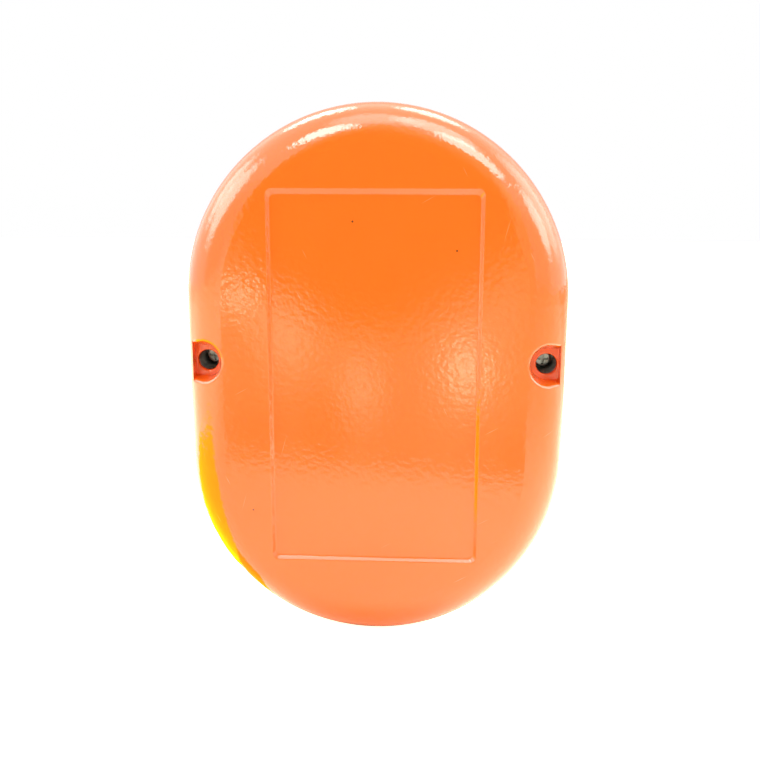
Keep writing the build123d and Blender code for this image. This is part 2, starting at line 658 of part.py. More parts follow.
def speaker_bracket():
    """A ring with four ears that holds the speaker in its seat."""
    low = BRACKET_TOP - BRACKET_SKIN
    high = BRACKET_TOP - FIT
    bracket = peg(0, SPEAKER_Y, SPEAKER + 1.6, low, high)
    for x, y in EAR_SPOTS:
        bracket += peg(x, y, EAR, low, high)
        halfway = Pos(x / 2, (y + SPEAKER_Y) / 2, (low + high) / 2)
        turn = Rot(0, 0, Vector(1, 0, 0).get_signed_angle(Vector(x, y - SPEAKER_Y, 0)))
        bracket += halfway * turn * Box(EAR_REACH, 2 * EAR, high - low)
    bracket -= peg(0, SPEAKER_Y, CONE_EDGE + 0.6, low - 1, high + 1)
    for x, y in EAR_SPOTS:
        bracket -= peg(x, y, PASSAGE, low - 1, high + 1)
    return bracket


def bracket_screws():
    seat = BRACKET_TOP - BRACKET_SKIN
    return group(tapping_screw(x, y, seat, BRACKET_SCREW) for x, y in EAR_SPOTS)


def microphone():
    capsule = peg(0, MIC_Y, MIC, MIC_LOW, MIC_HIGH)
    return chamfer(capsule.edges().group_by(Axis.Z)[-1], 0.3)


def microphone_boot():
    return ring(0, MIC_Y, MIC_BOOT, MIC + FIT, MIC_LOW - 0.2, INNER_FACE - FIT)


# ---- circuit board ---------------------------------------------------------------------

def circuit_board():
    middle = (BOARD_LOW + BOARD_HIGH) / 2
    sheet = Pos(0, middle) * RectangleRounded(2 * BOARD_HALF, BOARD_HIGH - BOARD_LOW, BOARD_CORNER)
    board = slab(sheet, BOARD_BACK, BOARD_FRONT)
    for x, y in BOARD_SCREWS:
        board -= peg(x, y, PASSAGE, BOARD_BACK - 1, BOARD_FRONT + 1)
    return board


def board_screws():
    return group(tapping_screw(x, y, BOARD_BACK, BOARD_SCREW) for x, y in BOARD_SCREWS)


def chip(x, y, pins):
    """A moulded package with a row of gull-wing legs down each side."""
    low = BOARD_FRONT + CHIP_STAND
    length = CHIP_PITCH * pins / 2 + 0.6
    package = block((x - CHIP_HALF, x + CHIP_HALF), (y - length / 2, y + length / 2),
                    (low, low + CHIP_HEIGHT))
    package = chamfer(package.edges().group_by(Axis.Z)[-1], 0.25)
    for row in range(pins // 2):
        leg_y = y + (row - (pins / 2 - 1) / 2) * CHIP_PITCH
        for side in (-1, 1):
            inner = sorted((x + side * 1.8, x + side * 2.6))
            outer = sorted((x + side * 2.4, x + side * 3.0))
            package += block(inner, (leg_y - 0.2, leg_y + 0.2), (low + 0.6, low + 0.8))
            package += block(outer, (leg_y - 0.2, leg_y + 0.2), (ON_BOARD, low + 0.8))
    return package


def crystal():
    """A flat metal can that lies below the big button's switch."""
    can = Pos(0, CRYSTAL_Y) * SlotOverall(CRYSTAL_LENGTH, CRYSTAL_WIDTH)
    can = slab(can, ON_BOARD + 0.5, ON_BOARD + 3.5)
    can = fillet(can.edges().group_by(Axis.Z)[-1], 0.5)
    rim = Pos(0, CRYSTAL_Y) * SlotOverall(CRYSTAL_LENGTH + 0.6, CRYSTAL_WIDTH + 0.6)
    return can + slab(rim, ON_BOARD, ON_BOARD + 0.6)


def tuning_coils():
    """Two shielded coils, each with a slotted core that is turned to tune it."""
    cans = []
    half = COIL_CAN_HALF
    top = BOARD_FRONT + COIL_CAN_HEIGHT
    for x, y in COIL_CAN_SPOTS:
        can = block((x - half, x + half), (y - half, y + half), (ON_BOARD, top))
        can = fillet(can.edges().filter_by(Axis.Z), 0.6)
        can -= peg(x, y, 1.7, top - 1.2, top + 1)
        can -= block((x - 1.6, x + 1.6), (y - 0.3, y + 0.3), (top - 2.0, top))
        cans.append(can)
    return group(cans)


def electrolytic_capacitors():
    cans = []
    top = BOARD_FRONT + CAPACITOR_HEIGHT
    for x, y in CAPACITOR_SPOTS:
        can = peg(x, y, CAPACITOR, ON_BOARD, top)
        can = fillet(can.edges(), 0.4)
        for turn in (0, 60, 120):
            can -= Pos(x, y, top) * Rot(0, 0, turn) * Box(3.6, 0.25, 0.3)
        cans.append(can)
    return group(cans)


def disc_capacitors():
    discs = []
    for x, y in DISC_SPOTS:
        disc = Pos(x, y, BOARD_FRONT + DISC + 0.9) * Rot(90, 0, 0) * Cylinder(DISC, 1.5)
        disc = fillet(disc.edges(), 0.6)
        for side in (-1.2, 1.2):
            disc += peg(x + side, y, LEAD, ON_BOARD, BOARD_FRONT + 2.5)
        discs.append(disc)
    return group(discs)


def resistors():
    parts = []
    for x, y in RESISTOR_SPOTS:
        lying = Pos(x, y, BOARD_FRONT + 1.4) * Rot(0, 90, 0)
        body = lying * Cylinder(RESISTOR, 3.6) + lying * Cylinder(LEAD, 6.6)
        for side in (-1, 1):
            body += lying * Pos(0, 0, side * 1.5) * Cylinder(RESISTOR + 0.2, 0.9)
            body += peg(x + side * 3.0, y, LEAD, ON_BOARD, BOARD_FRONT + 1.7)
        parts.append(body)
    return group(parts)


# ---- battery tray ----------------------------------------------------------------------

def cell_ends(index):
    """The y of a cell's nub tip, and 1 where the nub points up or -1 where it points down."""
    if index % 2 == 0:
        return CELL_TOP_END - CONTACT - 2 * FIT, 1
    return CELL_LOW_END + CONTACT + 2 * FIT, -1


def battery_tray():
    tray = block((-TRAY_HALF, TRAY_HALF), (TRAY_LOW, TRAY_HIGH), (TRAY_RIM, PARTING - FIT))
    tray = fillet(tray.edges().filter_by(Axis.Z), 2.0)
    inner = TRAY_HALF - TRAY_SKIN
    tray -= block((-inner, inner), (CELL_LOW_END, CELL_TOP_END), (TRAY_RIM - 1, TRAY_FLOOR))
    for x in (-CELL_PITCH / 2, CELL_PITCH / 2):
        tray += block((x - 0.4, x + 0.4), (CELL_LOW_END + 6, CELL_TOP_END - 6), (CELL_Z, TRAY_FLOOR + 0.5))
    for x, y in TRAY_SCREWS:
        inward = TRAY_HALF - 1.0 if x > 0 else 1.0 - TRAY_HALF
        arm = block(sorted((inward, x)), (y - TRAY_ARM, y + TRAY_ARM), (TRAY_FLOOR, PARTING - FIT))
        tray += arm + peg(x, y, TRAY_ARM, TRAY_FLOOR, PARTING - FIT)
        tray -= peg(x, y, PASSAGE, TRAY_FLOOR - 1, PARTING + 1)
    for x, y in ((CELL_X[0], TRAY_HIGH), (CELL_X[2], TRAY_LOW)):
        tray -= block((x - TAG_SLOT, x + TAG_SLOT), (y - 2, y + 2), (TAG_Z - 0.4, TAG_Z + 0.4))
    return tray


def tray_screws():
    return group(tapping_screw(x, y, TRAY_FLOOR, TRAY_SCREW) for x, y in TRAY_SCREWS)


def battery_cells():
    cells = []
    for index, x in enumerate(CELL_X):
        tip, way = cell_ends(index)
        lying = Rot(-90 * way, 0, 0)
        can = fillet((Pos(0, 0, CELL_LENGTH / 2) * Cylinder(CELL, CELL_LENGTH)).edges(), 0.7)
        can = Pos(0, 0, -CELL_NUB - CELL_LENGTH) * can
        can += Pos(0, 0, -CELL_NUB / 2 - 0.25) * Cylinder(2.6, CELL_NUB + 0.5)
        cells.append(Pos(x, tip, CELL_Z) * lying * can)
    return group(cells)


def contact_sheet(x, wall_y, way):
    """A flat contact against one of the tray's end walls."""
    edge = wall_y - way * CONTACT
    return block((x - CONTACT_HALF, x + CONTACT_HALF), sorted((edge, wall_y - way * FIT)),
                 (CELL_Z - 4.5, CELL_Z + 5.5))


def solder_tag(x, wall_y, way):
    """A tongue that passes through the tray's end wall to take a wire."""
    reach = sorted((wall_y - way * CONTACT, wall_y + way * (TRAY_SKIN + TAG_OUT)))
    return block((x - TAG_HALF, x + TAG_HALF), reach, (TAG_Z - CONTACT / 2, TAG_Z + CONTACT / 2))


def battery_plates():
    """Flat contacts at the nubs. The first also carries the positive wire."""
    plates = []
    for index, x in enumerate(CELL_X):
        way = cell_ends(index)[1]
        wall_y = CELL_TOP_END if way > 0 else CELL_LOW_END
        plate = contact_sheet(x, wall_y, way)
        if index == 0:
            plate += solder_tag(x, wall_y, way)
        plates.append(plate)
    return group(plates)


def battery_springs():
    """The space of the cone springs at the flat ends. The last also carries the negative wire."""
    springs = []
    for index, x in enumerate(CELL_X):
        tip, way = cell_ends(index)
        flat_end = tip - way * (CELL_NUB + CELL_LENGTH)
        wall_y = CELL_LOW_END if way > 0 else CELL_TOP_END
        plate = contact_sheet(x, wall_y, -way)
        base_y = wall_y + way * (CONTACT - 0.1)
        length = abs(flat_end - base_y) - FIT
        inner = (CELL_SPRING_WIDE - CELL_SPRING_WIRE, CELL_SPRING_NARROW - CELL_SPRING_WIRE)
        cone = Cone(CELL_SPRING_WIDE, CELL_SPRING_NARROW, length) - Cone(*inner, length)
        plate += Pos(x, base_y + way * length / 2, CELL_Z) * Rot(-90 * way, 0, 0) * cone
        if index == 2:
            plate += solder_tag(x, wall_y, -way)
        springs.append(plate)
    return group(springs)


# ---- antenna ---------------------------------------------------------------------------

def lengthwise(radius, low_x, high_x):
    """A round bar across the casing on the antenna's axis."""
    bar = Rot(0, 90, 0) * Cylinder(radius, high_x - low_x)
    return Pos((low_x + high_x) / 2, ANTENNA_Y, ANTENNA_Z) * bar


def antenna_former():
    former = lengthwise(ANTENNA, -ANTENNA_HALF, ANTENNA_HALF)
    for x in (-ANTENNA_HALF, -COIL_HALF - CHEEK_WIDTH, COIL_HALF, ANTENNA_HALF - CHEEK_WIDTH):
        former += lengthwise(CHEEK, x, x + CHEEK_WIDTH)
    return former - lengthwise(ANTENNA_BORE, -ANTENNA_HALF - 1, ANTENNA_HALF + 1)


def antenna_coil():
    low, high = -COIL_HALF + FIT, COIL_HALF - FIT
    return lengthwise(COIL, low, high) - lengthwise(ANTENNA + FIT, low - 1, high + 1)


# ---- wires -----------------------------------------------------------------------------

def down_to_board(x, y):
    """The last run of a wire, straight down to its pad."""
    return [(x, y, ON_BOARD + WIRE_RISE), (x, y, ON_BOARD)]


def battery_wire_red():
    """From the tag above the tray's top end, round the board's edge and on to the board."""
    x = CELL_X[0]
    start = [(x, CELL_TOP_END + TAG_REACH, TAG_Z), (x, 13.0, TAG_Z)]
    bend = [(x + 0.6, 12.5, 3.5), (x, 9.6, 9.4)]
    return start + bend + down_to_board(x, 2.6)


def battery_wire_black():
    """From the tag below the tray's low end, round the board's edge and on to the board."""
    x = CELL_X[2]
    start = [(x, CELL_LOW_END - TAG_REACH, TAG_Z), (x, -57.8, TAG_Z + 0.2)]
    bend = [(x - 0.5, -57.6, 1.5), (x, -54.0, 9.0)]
    return start + bend + down_to_board(x, -45.6)


def speaker_wire(side):
    """From a terminal on the speaker's shelf to the board's top edge."""
    shelf_y = SPEAKER_Y - SHELF_REACH - FIT
    height = SHELF_TOP - PAN_SKIN / 2
    return [(side * 3.6, shelf_y, height), (side * 3.6, 7.4, height)] + down_to_board(side * 5.2, 3.0)


def antenna_wire():
    """From the winding, round the speaker, to the board's top corner."""
    start = [(-16.6, ANTENNA_Y - ANTENNA - WIRE - 0.3, ANTENNA_Z), (-22.0, 44.6, 4.4)]
    round_speaker = [(-27.5, 37.0, 5.4), (-30.0, 25.0, 6.2), (-30.2, 13.0, 7.6)]
    return start + round_speaker + down_to_board(-28.4, 2.6)


def microphone_wires():
    wires = []
    for x in (-1.3, 1.3):
        board_y = -45.6
        route = [(x, MIC_Y, MIC_LOW - FIT), (x, MIC_Y + 0.2, 8.4), (x, board_y, 8.9), (x, board_y, ON_BOARD)]
        wires.append(wire("microphone_wires", route, THIN_WIRE))
    return group(wires)


# ---- the whole object ------------------------------------------------------------------

NODES = {
    "back_shell": back_shell(),
    "front_shell": front_shell(),
    "well_ferrules": group(both_sides(ferrule())),
    "case_screws": case_screws(),
    "ptt_button": ptt_button(),
    "ptt_spring": return_spring(0, PTT_Y, PTT_CEILING),
    "ptt_switch": push_switch(0, PTT_Y),
    "call_button": call_button(),
    "call_spring": return_spring(CALL_X, CONTROL_Y, CALL_FLANGE_LOW),
    "call_switch": push_switch(CALL_X, CONTROL_Y),
    "volume_knob": volume_knob(),
    "volume_shaft": volume_shaft(),
    "volume_potentiometer": volume_potentiometer(),
    "led_lens": led_lens(),
    "led": led(),
    "grille_felt": grille_felt(),
    "speaker_gasket": speaker_gasket(),
    "speaker_frame": speaker_frame(),
    "speaker_cone": speaker_cone(),
    "speaker_magnet": speaker_magnet(),
    "speaker_bracket": speaker_bracket(),
    "bracket_screws": bracket_screws(),
    "microphone": microphone(),
    "microphone_boot": microphone_boot(),
    "microphone_wires": microphone_wires(),
    "circuit_board": circuit_board(),
    "board_screws": board_screws(),
    "crystal": crystal(),
    "tuning_coils": tuning_coils(),
    "electrolytic_capacitors": electrolytic_capacitors(),
    "disc_capacitors": disc_capacitors(),
    "resistors": resistors(),
    "battery_tray": battery_tray(),
    "tray_screws": tray_screws(),
    "battery_cells": battery_cells(),
    "battery_plates": battery_plates(),
    "battery_springs": battery_springs(),
    "antenna_former": antenna_former(),
    "antenna_coil": antenna_coil(),
}
for name, (x, y, pins) in CHIP_SPOTS.items():
    NODES[name] = chip(x, y, pins)
WIRE_ROUTES = {
    "battery_wire_red": battery_wire_red(),
    "battery_wire_black": battery_wire_black(),
    "speaker_wire_red": speaker_wire(1),
    "speaker_wire_black": speaker_wire(-1),
    "antenna_wire": antenna_wire(),
}
for name, route in WIRE_ROUTES.items():
    NODES[name] = wire(name, route, WIRE)

STAND_UP = Rot(90, 0, 0)   # turns the drawing's y into +Z, and its front to face -Y

os.makedirs("parts", exist_ok=True)
for name, piece in NODES.items():
    export_step(STAND_UP * piece, f"parts/{name}.step")
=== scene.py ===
import math
import bmesh
import bpy
from mathutils import Matrix, Vector


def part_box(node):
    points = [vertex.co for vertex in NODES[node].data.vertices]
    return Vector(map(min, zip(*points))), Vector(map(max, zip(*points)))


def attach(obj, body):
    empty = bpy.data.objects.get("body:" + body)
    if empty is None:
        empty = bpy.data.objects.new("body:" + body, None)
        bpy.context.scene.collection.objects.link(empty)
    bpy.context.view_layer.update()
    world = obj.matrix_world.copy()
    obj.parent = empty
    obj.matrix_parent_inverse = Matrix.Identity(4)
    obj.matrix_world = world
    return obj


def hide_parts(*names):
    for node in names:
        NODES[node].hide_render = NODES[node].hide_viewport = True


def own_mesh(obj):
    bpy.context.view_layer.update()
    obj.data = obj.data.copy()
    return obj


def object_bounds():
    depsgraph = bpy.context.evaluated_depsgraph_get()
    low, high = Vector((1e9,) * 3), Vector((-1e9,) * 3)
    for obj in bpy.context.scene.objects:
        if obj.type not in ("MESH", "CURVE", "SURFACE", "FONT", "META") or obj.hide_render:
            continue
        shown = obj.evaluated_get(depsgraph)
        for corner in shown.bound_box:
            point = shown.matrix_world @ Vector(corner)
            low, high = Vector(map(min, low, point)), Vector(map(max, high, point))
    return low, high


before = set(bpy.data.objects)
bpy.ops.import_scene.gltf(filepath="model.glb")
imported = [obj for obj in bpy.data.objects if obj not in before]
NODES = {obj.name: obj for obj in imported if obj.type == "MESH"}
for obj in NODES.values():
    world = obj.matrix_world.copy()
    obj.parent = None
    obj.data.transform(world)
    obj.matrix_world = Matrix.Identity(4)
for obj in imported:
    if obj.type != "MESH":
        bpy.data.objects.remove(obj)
CAD_LOW, CAD_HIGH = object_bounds()
MM = 0.001

# ---- camera ----------------------------------------------------------------------------
# It stands behind the toy, a little above its middle, and looks slightly down at the back.

CAMERA_PLACE = Vector((-11.5, 226.3, 44.1)) * MM
CAMERA_TARGET = Vector((-1.4, 19.0, 1.4)) * MM
CAMERA_ROLL = math.radians(0.2)
CAMERA_LENS = 42.6


def make_camera():
    data = bpy.data.cameras.new("camera")
    data.lens = CAMERA_LENS
    data.clip_start = 0.01
    camera = bpy.data.objects.new("camera", data)
    bpy.context.scene.collection.objects.link(camera)
    camera.location = CAMERA_PLACE
    aim = (CAMERA_TARGET - CAMERA_PLACE).to_track_quat("-Z", "Y")
    camera.rotation_mode = "QUATERNION"
    camera.rotation_quaternion = aim @ Matrix.Rotation(CAMERA_ROLL, 4, "Z").to_quaternion()
    bpy.context.scene.camera = camera


make_camera()

# ---- node helpers ----------------------------------------------------------------------


class Nodes:
    """Adds nodes to a node tree and links them."""

    def __init__(self, tree):
        self.tree = tree

    def node(self, kind, **properties):
        node = self.tree.nodes.new(kind)
        for key, value in properties.items():
            setattr(node, key, value)
        return node

    def put(self, socket, value):
        """Feeds a socket with another node's output, a number, a Vector or a colour as a tuple."""
        if isinstance(value, bpy.types.NodeSocket):
            self.tree.links.new(value, socket)
        else:
            socket.default_value = (*value, 1.0) if isinstance(value, tuple) else value

    def math(self, operation, *values):
        node = self.node("ShaderNodeMath", operation=operation)
        for socket, value in zip(node.inputs, values):
            self.put(socket, value)
        return node.outputs[0]

    def vector_math(self, operation, *values):
        node = self.node("ShaderNodeVectorMath", operation=operation)
        for socket, value in zip(node.inputs, values):
            self.put(socket, value)
        return node.outputs["Value" if operation in ("LENGTH", "DOT_PRODUCT") else "Vector"]

    def fade(self, value, start, end, first=0.0, last=1.0):
        """Turns a value from start to end smoothly into a number from first to last."""
        node = self.node("ShaderNodeMapRange", interpolation_type="SMOOTHSTEP")
        for socket, part in zip(node.inputs[:5], (value, start, end, first, last)):
            self.put(socket, part)
        return node.outputs[0]


class Look(Nodes):
    """A material made of one Principled shader and the nodes that feed it."""

    def __init__(self, name, **settings):
        self.material = bpy.data.materials.new(name)
        self.material.use_nodes = True
        super().__init__(self.material.node_tree)
        self.shader = self.tree.nodes["Principled BSDF"]
        self.place = self.node("ShaderNodeTexCoord").outputs["Object"]
        for socket, value in settings.items():
            self.shader.inputs[socket.replace("_", " ")].default_value = value

    def noise(self, scale, detail=2.0, place=None, distortion=0.0):
        node = self.node("ShaderNodeTexNoise")
        self.put(node.inputs["Vector"], place or self.place)
        node.inputs["Scale"].default_value = scale
        node.inputs["Detail"].default_value = detail
        node.inputs["Distortion"].default_value = distortion
        return node.outputs["Fac"]

    def cells(self, scale, place=None):
        """Distance to the nearest of scattered points, and a random colour for each point."""
        node = self.node("ShaderNodeTexVoronoi")
        self.put(node.inputs["Vector"], place or self.place)
        node.inputs["Scale"].default_value = scale
        return node.outputs["Distance"], node.outputs["Color"]

    def mapped(self, scale=(1, 1, 1), turn=(0, 0, 0), move=(0, 0, 0)):
        node = self.node("ShaderNodeMapping")
        self.put(node.inputs["Vector"], self.place)
        node.inputs["Location"].default_value = move
        node.inputs["Rotation"].default_value = turn
        node.inputs["Scale"].default_value = scale
        return node.outputs["Vector"]

    def cell_frame(self, size, turn, move):
        """Coordinates turned about Y and then divided into cells of a size in metres."""
        node = self.node("ShaderNodeMapping", vector_type="TEXTURE")
        self.put(node.inputs["Vector"], self.place)
        node.inputs["Location"].default_value = (move, 0, move)
        node.inputs["Rotation"].default_value = (0, turn, 0)
        node.inputs["Scale"].default_value = size
        return node.outputs["Vector"]

    def axis(self, letter, place=None):
        node = self.node("ShaderNodeSeparateXYZ")
        self.put(node.inputs[0], place or self.place)
        return node.outputs[letter]

    def ramp(self, value, *stops, change="LINEAR"):
        """Remaps a value through (position, grey or colour) stops."""
        node = self.node("ShaderNodeValToRGB")
        self.put(node.inputs[0], value)
        band = node.color_ramp
        band.interpolation = change
        while len(band.elements) < len(stops):
            band.elements.new(0.5)
        for element, (position, tone) in zip(band.elements, stops):
            element.position = position
            colour = tone if isinstance(tone, tuple) else (tone, tone, tone)
            element.color = (*colour, 1.0)
        return node.outputs["Color"]

    def blend(self, share, first, second, how="MIX"):
        node = self.node("ShaderNodeMix", data_type="RGBA", blend_type=how)
        self.put(node.inputs[0], share)
        for index, value in ((6, first), (7, second)):
            self.put(node.inputs[index], value)
        return node.outputs[2]

    def colour(self, value):
        self.put(self.shader.inputs["Base Color"], value)

    def rough(self, value):
        self.put(self.shader.inputs["Roughness"], value)

    def bump(self, *heights):
        """Adds (height, depth in metres) layers of relief to the shader's normal."""
        normal = None
        for height, depth in heights:
            node = self.node("ShaderNodeBump")
            node.inputs["Distance"].default_value = depth
            self.put(node.inputs["Height"], height)
            if normal:
                self.put(node.inputs["Normal"], normal)
            normal = node.outputs["Normal"]
        self.put(self.shader.inputs["Normal"], normal)
        return self


# ---- studio ----------------------------------------------------------------------------

FLOOR_Z = CAD_LOW.z - 0.00002
FILL_LEVEL = 0.55          # light that falls on the toy from all round

# The floor's brightness to the eye and then in the gloss: its base, what is added towards +Y and
# towards +X, what is taken off everywhere, and the least that is left
FLOOR_SEEN = 1.3
FLOOR_GLOSS = 4.75
FLOOR_TOWARD_BACK = -1.7
FLOOR_TOWARD_SIDE = -0.9
FLOOR_LOSS = 0.9
FLOOR_LEAST = 0.2
# Fades on the floor, each as start, end, first and last value. The first two go by the distance
# from the toy's middle and multiply the brightness; the second of them is a painted shadow, which dims
# the floor's glow in the gloss close under the toy. The others go by x and y and are added to it.
FLOOR_NEAR = (0.34, 0.08, 0.42, 1.0)
FLOOR_UNDER_SHADOW = (0.012, 0.040, 0.12, 1.0)
FLOOR_SIDE = (0.08, 0.24, 0.0, 2.4)
FLOOR_FRONT = (-0.10, -0.26, 0.0, -1.4)
FLOOR_HALF = 2.0


def place_card(name, corners, material):
    """A flat card between given corners, as part of the studio."""
    mesh = bpy.data.meshes.new(name)
    mesh.from_pydata(corners, [], [tuple(range(len(corners)))])
    mesh.materials.append(material)
    card = bpy.data.objects.new(name, mesh)
    bpy.context.scene.collection.objects.link(card)
    return card


def only_in_reflections(card):
    card.visible_camera = False
    card.visible_diffuse = False
    card.visible_shadow = False
    card.visible_transmission = False


def make_floor():
    """A pale floor that is lit to white, and that the gloss shows with brighter and dimmer parts."""
    look = Look("studio_floor", Roughness=0.9, Specular_IOR_Level=0.1)
    tone = look.ramp(look.noise(9.0, 3.0), (0.3, (0.92, 0.92, 0.71)), (0.7, (0.94, 0.94, 0.73)))
    look.colour(tone)
    look.put(look.shader.inputs["Emission Color"], tone)
    paths = look.node("ShaderNodeLightPath")
    place = look.node("ShaderNodeNewGeometry").outputs["Position"]
    flat = look.vector_math("MULTIPLY", place, Vector((1.0, 1.0, 0.0)))
    reach = look.vector_math("LENGTH", flat)
    way = look.vector_math("NORMALIZE", flat)
    level = look.math("MULTIPLY_ADD", look.axis("Y", way), FLOOR_TOWARD_BACK, FLOOR_GLOSS)
    level = look.math("MULTIPLY_ADD", look.axis("X", way), FLOOR_TOWARD_SIDE, level)
    level = look.math("MULTIPLY", level, look.fade(reach, *FLOOR_NEAR))
    level = look.math("SUBTRACT", level, FLOOR_LOSS)
    # Painted shadow: the floor's glow in the gloss is dimmed close under the toy.
    level = look.math("MULTIPLY", level, look.fade(reach, *FLOOR_UNDER_SHADOW))
    level = look.math("ADD", level, look.fade(look.axis("X", place), *FLOOR_SIDE))
    level = look.math("ADD", level, look.fade(look.axis("Y", place), *FLOOR_FRONT))
    level = look.math("MAXIMUM", level, FLOOR_LEAST)
    glossy = look.math("MULTIPLY", paths.outputs["Is Glossy Ray"], level)
    seen = look.math("MULTIPLY", paths.outputs["Is Camera Ray"], FLOOR_SEEN)
    look.put(look.shader.inputs["Emission Strength"], look.math("ADD", seen, glossy))
    around = ((-1, -1), (1, -1), (1, 1), (-1, 1))
    corners = [(x * FLOOR_HALF, y * FLOOR_HALF, FLOOR_Z) for x, y in around]
    place_card("studio_floor", corners, look.material)


# The dim side of the studio: an arched card behind the toy, turned a little, that only its gloss
# shows. Its outline, as x and z:
ROOM_OUTLINE = ((0.072, FLOOR_Z), (0.076, 0.000), (0.105, 0.060), (0.100, 0.115), (0.058, 0.170),
                (0.007, 0.275), (-0.051, 0.195), (-0.118, 0.172), (-0.130, 0.090), (-0.090, 0.020),
                (-0.060, 0.000), (-0.056, FLOOR_Z))
ROOM_Y = 0.1613            # its distance from the toy's middle
ROOM_SLANT = 0.204         # how much further off it is for each metre towards +X
ROOM_MIDDLE = 0.008        # x that its haze and its fade lie evenly about
DIM_LEVEL = 0.15           # its brightness between the haze below and the fade above
HAZE_LEVEL = 1.27          # brightness of its lower part
HAZE_LOW = -0.018          # the haze is full below this height
HAZE_HIGH = 0.002          # and gone above this one
HAZE_RISE = 10.0           # the haze reaches higher towards the sides, by this times x squared
FADE_LEVEL = 1.5           # brightness that is added at its arched top
FADE_LOW = 0.14            # the fade starts at this height in the middle
FADE_HIGH = 0.25           # and ends at this one
FADE_SLOPE = 0.9           # it comes lower towards the sides by this slope
# Soft patches on it, brighter or dimmer: centre x, centre z, half width, half height, brightness
ROOM_PATCHES = (
    (-0.0285, -0.023, 0.0075, 0.012, 7.0),
    (-0.028, -0.022, 0.018, 0.027, 1.9),
    (0.0136, -0.032, 0.009, 0.015, 3.4),
    (0.043, -0.016, 0.012, 0.016, 3.0),
    (0.0647, 0.004, 0.007, 0.006, 9.0),
    (0.054, -0.006, 0.014, 0.010, 1.8),
    (-0.0436, 0.000, 0.010, 0.020, 0.8),
    (0.0290, -0.050, 0.008, 0.016, -0.8),
    (0.0600, -0.054, 0.018, 0.012, -0.6),
    (-0.0500, -0.054, 0.016, 0.012, -0.5),
)


def make_room_card():
    """The dim card, which only glows, with its haze, its fade and its patches."""
    look = Look("studio_room", Roughness=1.0, Specular_IOR_Level=0.0)
    look.colour((0.0, 0.0, 0.0))
    place = look.node("ShaderNodeNewGeometry").outputs["Position"]
    aside = look.math("SUBTRACT", look.axis("X", place), ROOM_MIDDLE)
    upward = look.axis("Z", place)
    bend = look.math("MULTIPLY", look.math("MULTIPLY", aside, aside), HAZE_RISE)
    height = look.math("SUBTRACT", upward, bend)
    haze = look.fade(height, HAZE_HIGH, HAZE_LOW, DIM_LEVEL, HAZE_LEVEL)
    rise = look.math("MULTIPLY_ADD", look.math("ABSOLUTE", aside), FADE_SLOPE, upward)
    total = look.math("ADD", haze, look.fade(rise, FADE_LOW, FADE_HIGH, 0.0, FADE_LEVEL))
    for x, z, half_width, half_height, level in ROOM_PATCHES:
        shape = look.node("ShaderNodeMapping", vector_type="TEXTURE")
        look.put(shape.inputs["Vector"], place)
        shape.inputs["Location"].default_value = (x, ROOM_Y, z)
        shape.inputs["Scale"].default_value = (half_width * 2, 1.0, half_height * 2)
        ball = look.node("ShaderNodeTexGradient", gradient_type="QUADRATIC_SPHERE")
        look.put(ball.inputs[0], shape.outputs[0])
        total = look.math("MULTIPLY_ADD", ball.outputs["Fac"], level, total)
    look.put(look.shader.inputs["Emission Strength"], total)
    warmth = look.ramp(look.noise(14.0, 1.0, place), (0.3, (1.0, 1.0, 0.70)), (0.7, (1.0, 1.0, 0.75)))
    look.put(look.shader.inputs["Emission Color"], warmth)
    corners = [(x, ROOM_Y + ROOM_SLANT * x, z) for x, z in ROOM_OUTLINE]
    only_in_reflections(place_card("studio_room", corners, look.material))


# A yellow sheet on the floor on the toy's +X side, which tints the gloss there, and a dimmer one
# close to the toy. Their outlines, as x and y, and then name, outline and brightness of each:
YELLOW_FOOT = ((0.058, 0.022), (0.083, 0.060), (0.110, 0.106), (0.185, 0.145), (0.235, 0.145),
               (0.235, -0.030), (0.046, -0.030), (0.047, 0.000))
YELLOW_SHADE = ((0.047, 0.000), (0.058, 0.022), (0.040, 0.018), (0.028, 0.000))
YELLOW_RISE = 0.5 * MM     # height above the floor
YELLOW_SHEETS = (("studio_yellow", YELLOW_FOOT, 7.5), ("studio_yellow_shade", YELLOW_SHADE, 2.8))


def make_yellow_sheets():
    for name, foot, level in YELLOW_SHEETS:
        look = Look(name, Roughness=1.0, Specular_IOR_Level=0.0)
        look.colour((0.0, 0.0, 0.0))
        tone = look.ramp(look.noise(12.0), (0.3, (1.0, 0.60, 0.0)), (0.7, (1.0, 0.64, 0.0)))
        look.put(look.shader.inputs["Emission Color"], tone)
        look.put(look.shader.inputs["Emission Strength"], level)
        corners = [(x, y, FLOOR_Z + YELLOW_RISE) for x, y in foot]
        only_in_reflections(place_card(name, corners, look.material))


SKY_LEVEL = 2.7            # brightness of the white surroundings, as the gloss shows them
# Soft lamps that only the gloss shows: azimuth (0 is behind the toy, 90 on its +X side), elevation,
# radius of the full part, width of the soft edge, all in degrees, and brightness added to the sky
GLOSS_LAMPS = (
    (30, 50, 5, 8, 17.0),
    (-44, 46, 9, 7, 11.0),
    (-52, 66, 9, 10, 6.5),
    (10, 74, 8, 12, 4.0),
    (72, 27, 9, 10, 7.0),
    (100, 30, 7, 10, 5.0),
    (-76, 22, 6, 10, 8.0),
    (-104, 28, 10, 14, 3.6),
    (146, 53, 6, 7, 8.0),
    (-156, 56, 6, 7, 6.5),
    (42, 2, 12, 14, -1.1),
    (-46, 2, 12, 12, -1.0),
    (180, 6, 26, 22, -1.7),
)


def heading(azimuth, elevation):
    """The direction that an azimuth and an elevation in degrees point in."""
    azimuth = math.radians(azimuth)
    elevation = math.radians(elevation)
    level = math.cos(elevation)
    return Vector((math.sin(azimuth) * level, math.cos(azimuth) * level, math.sin(elevation)))


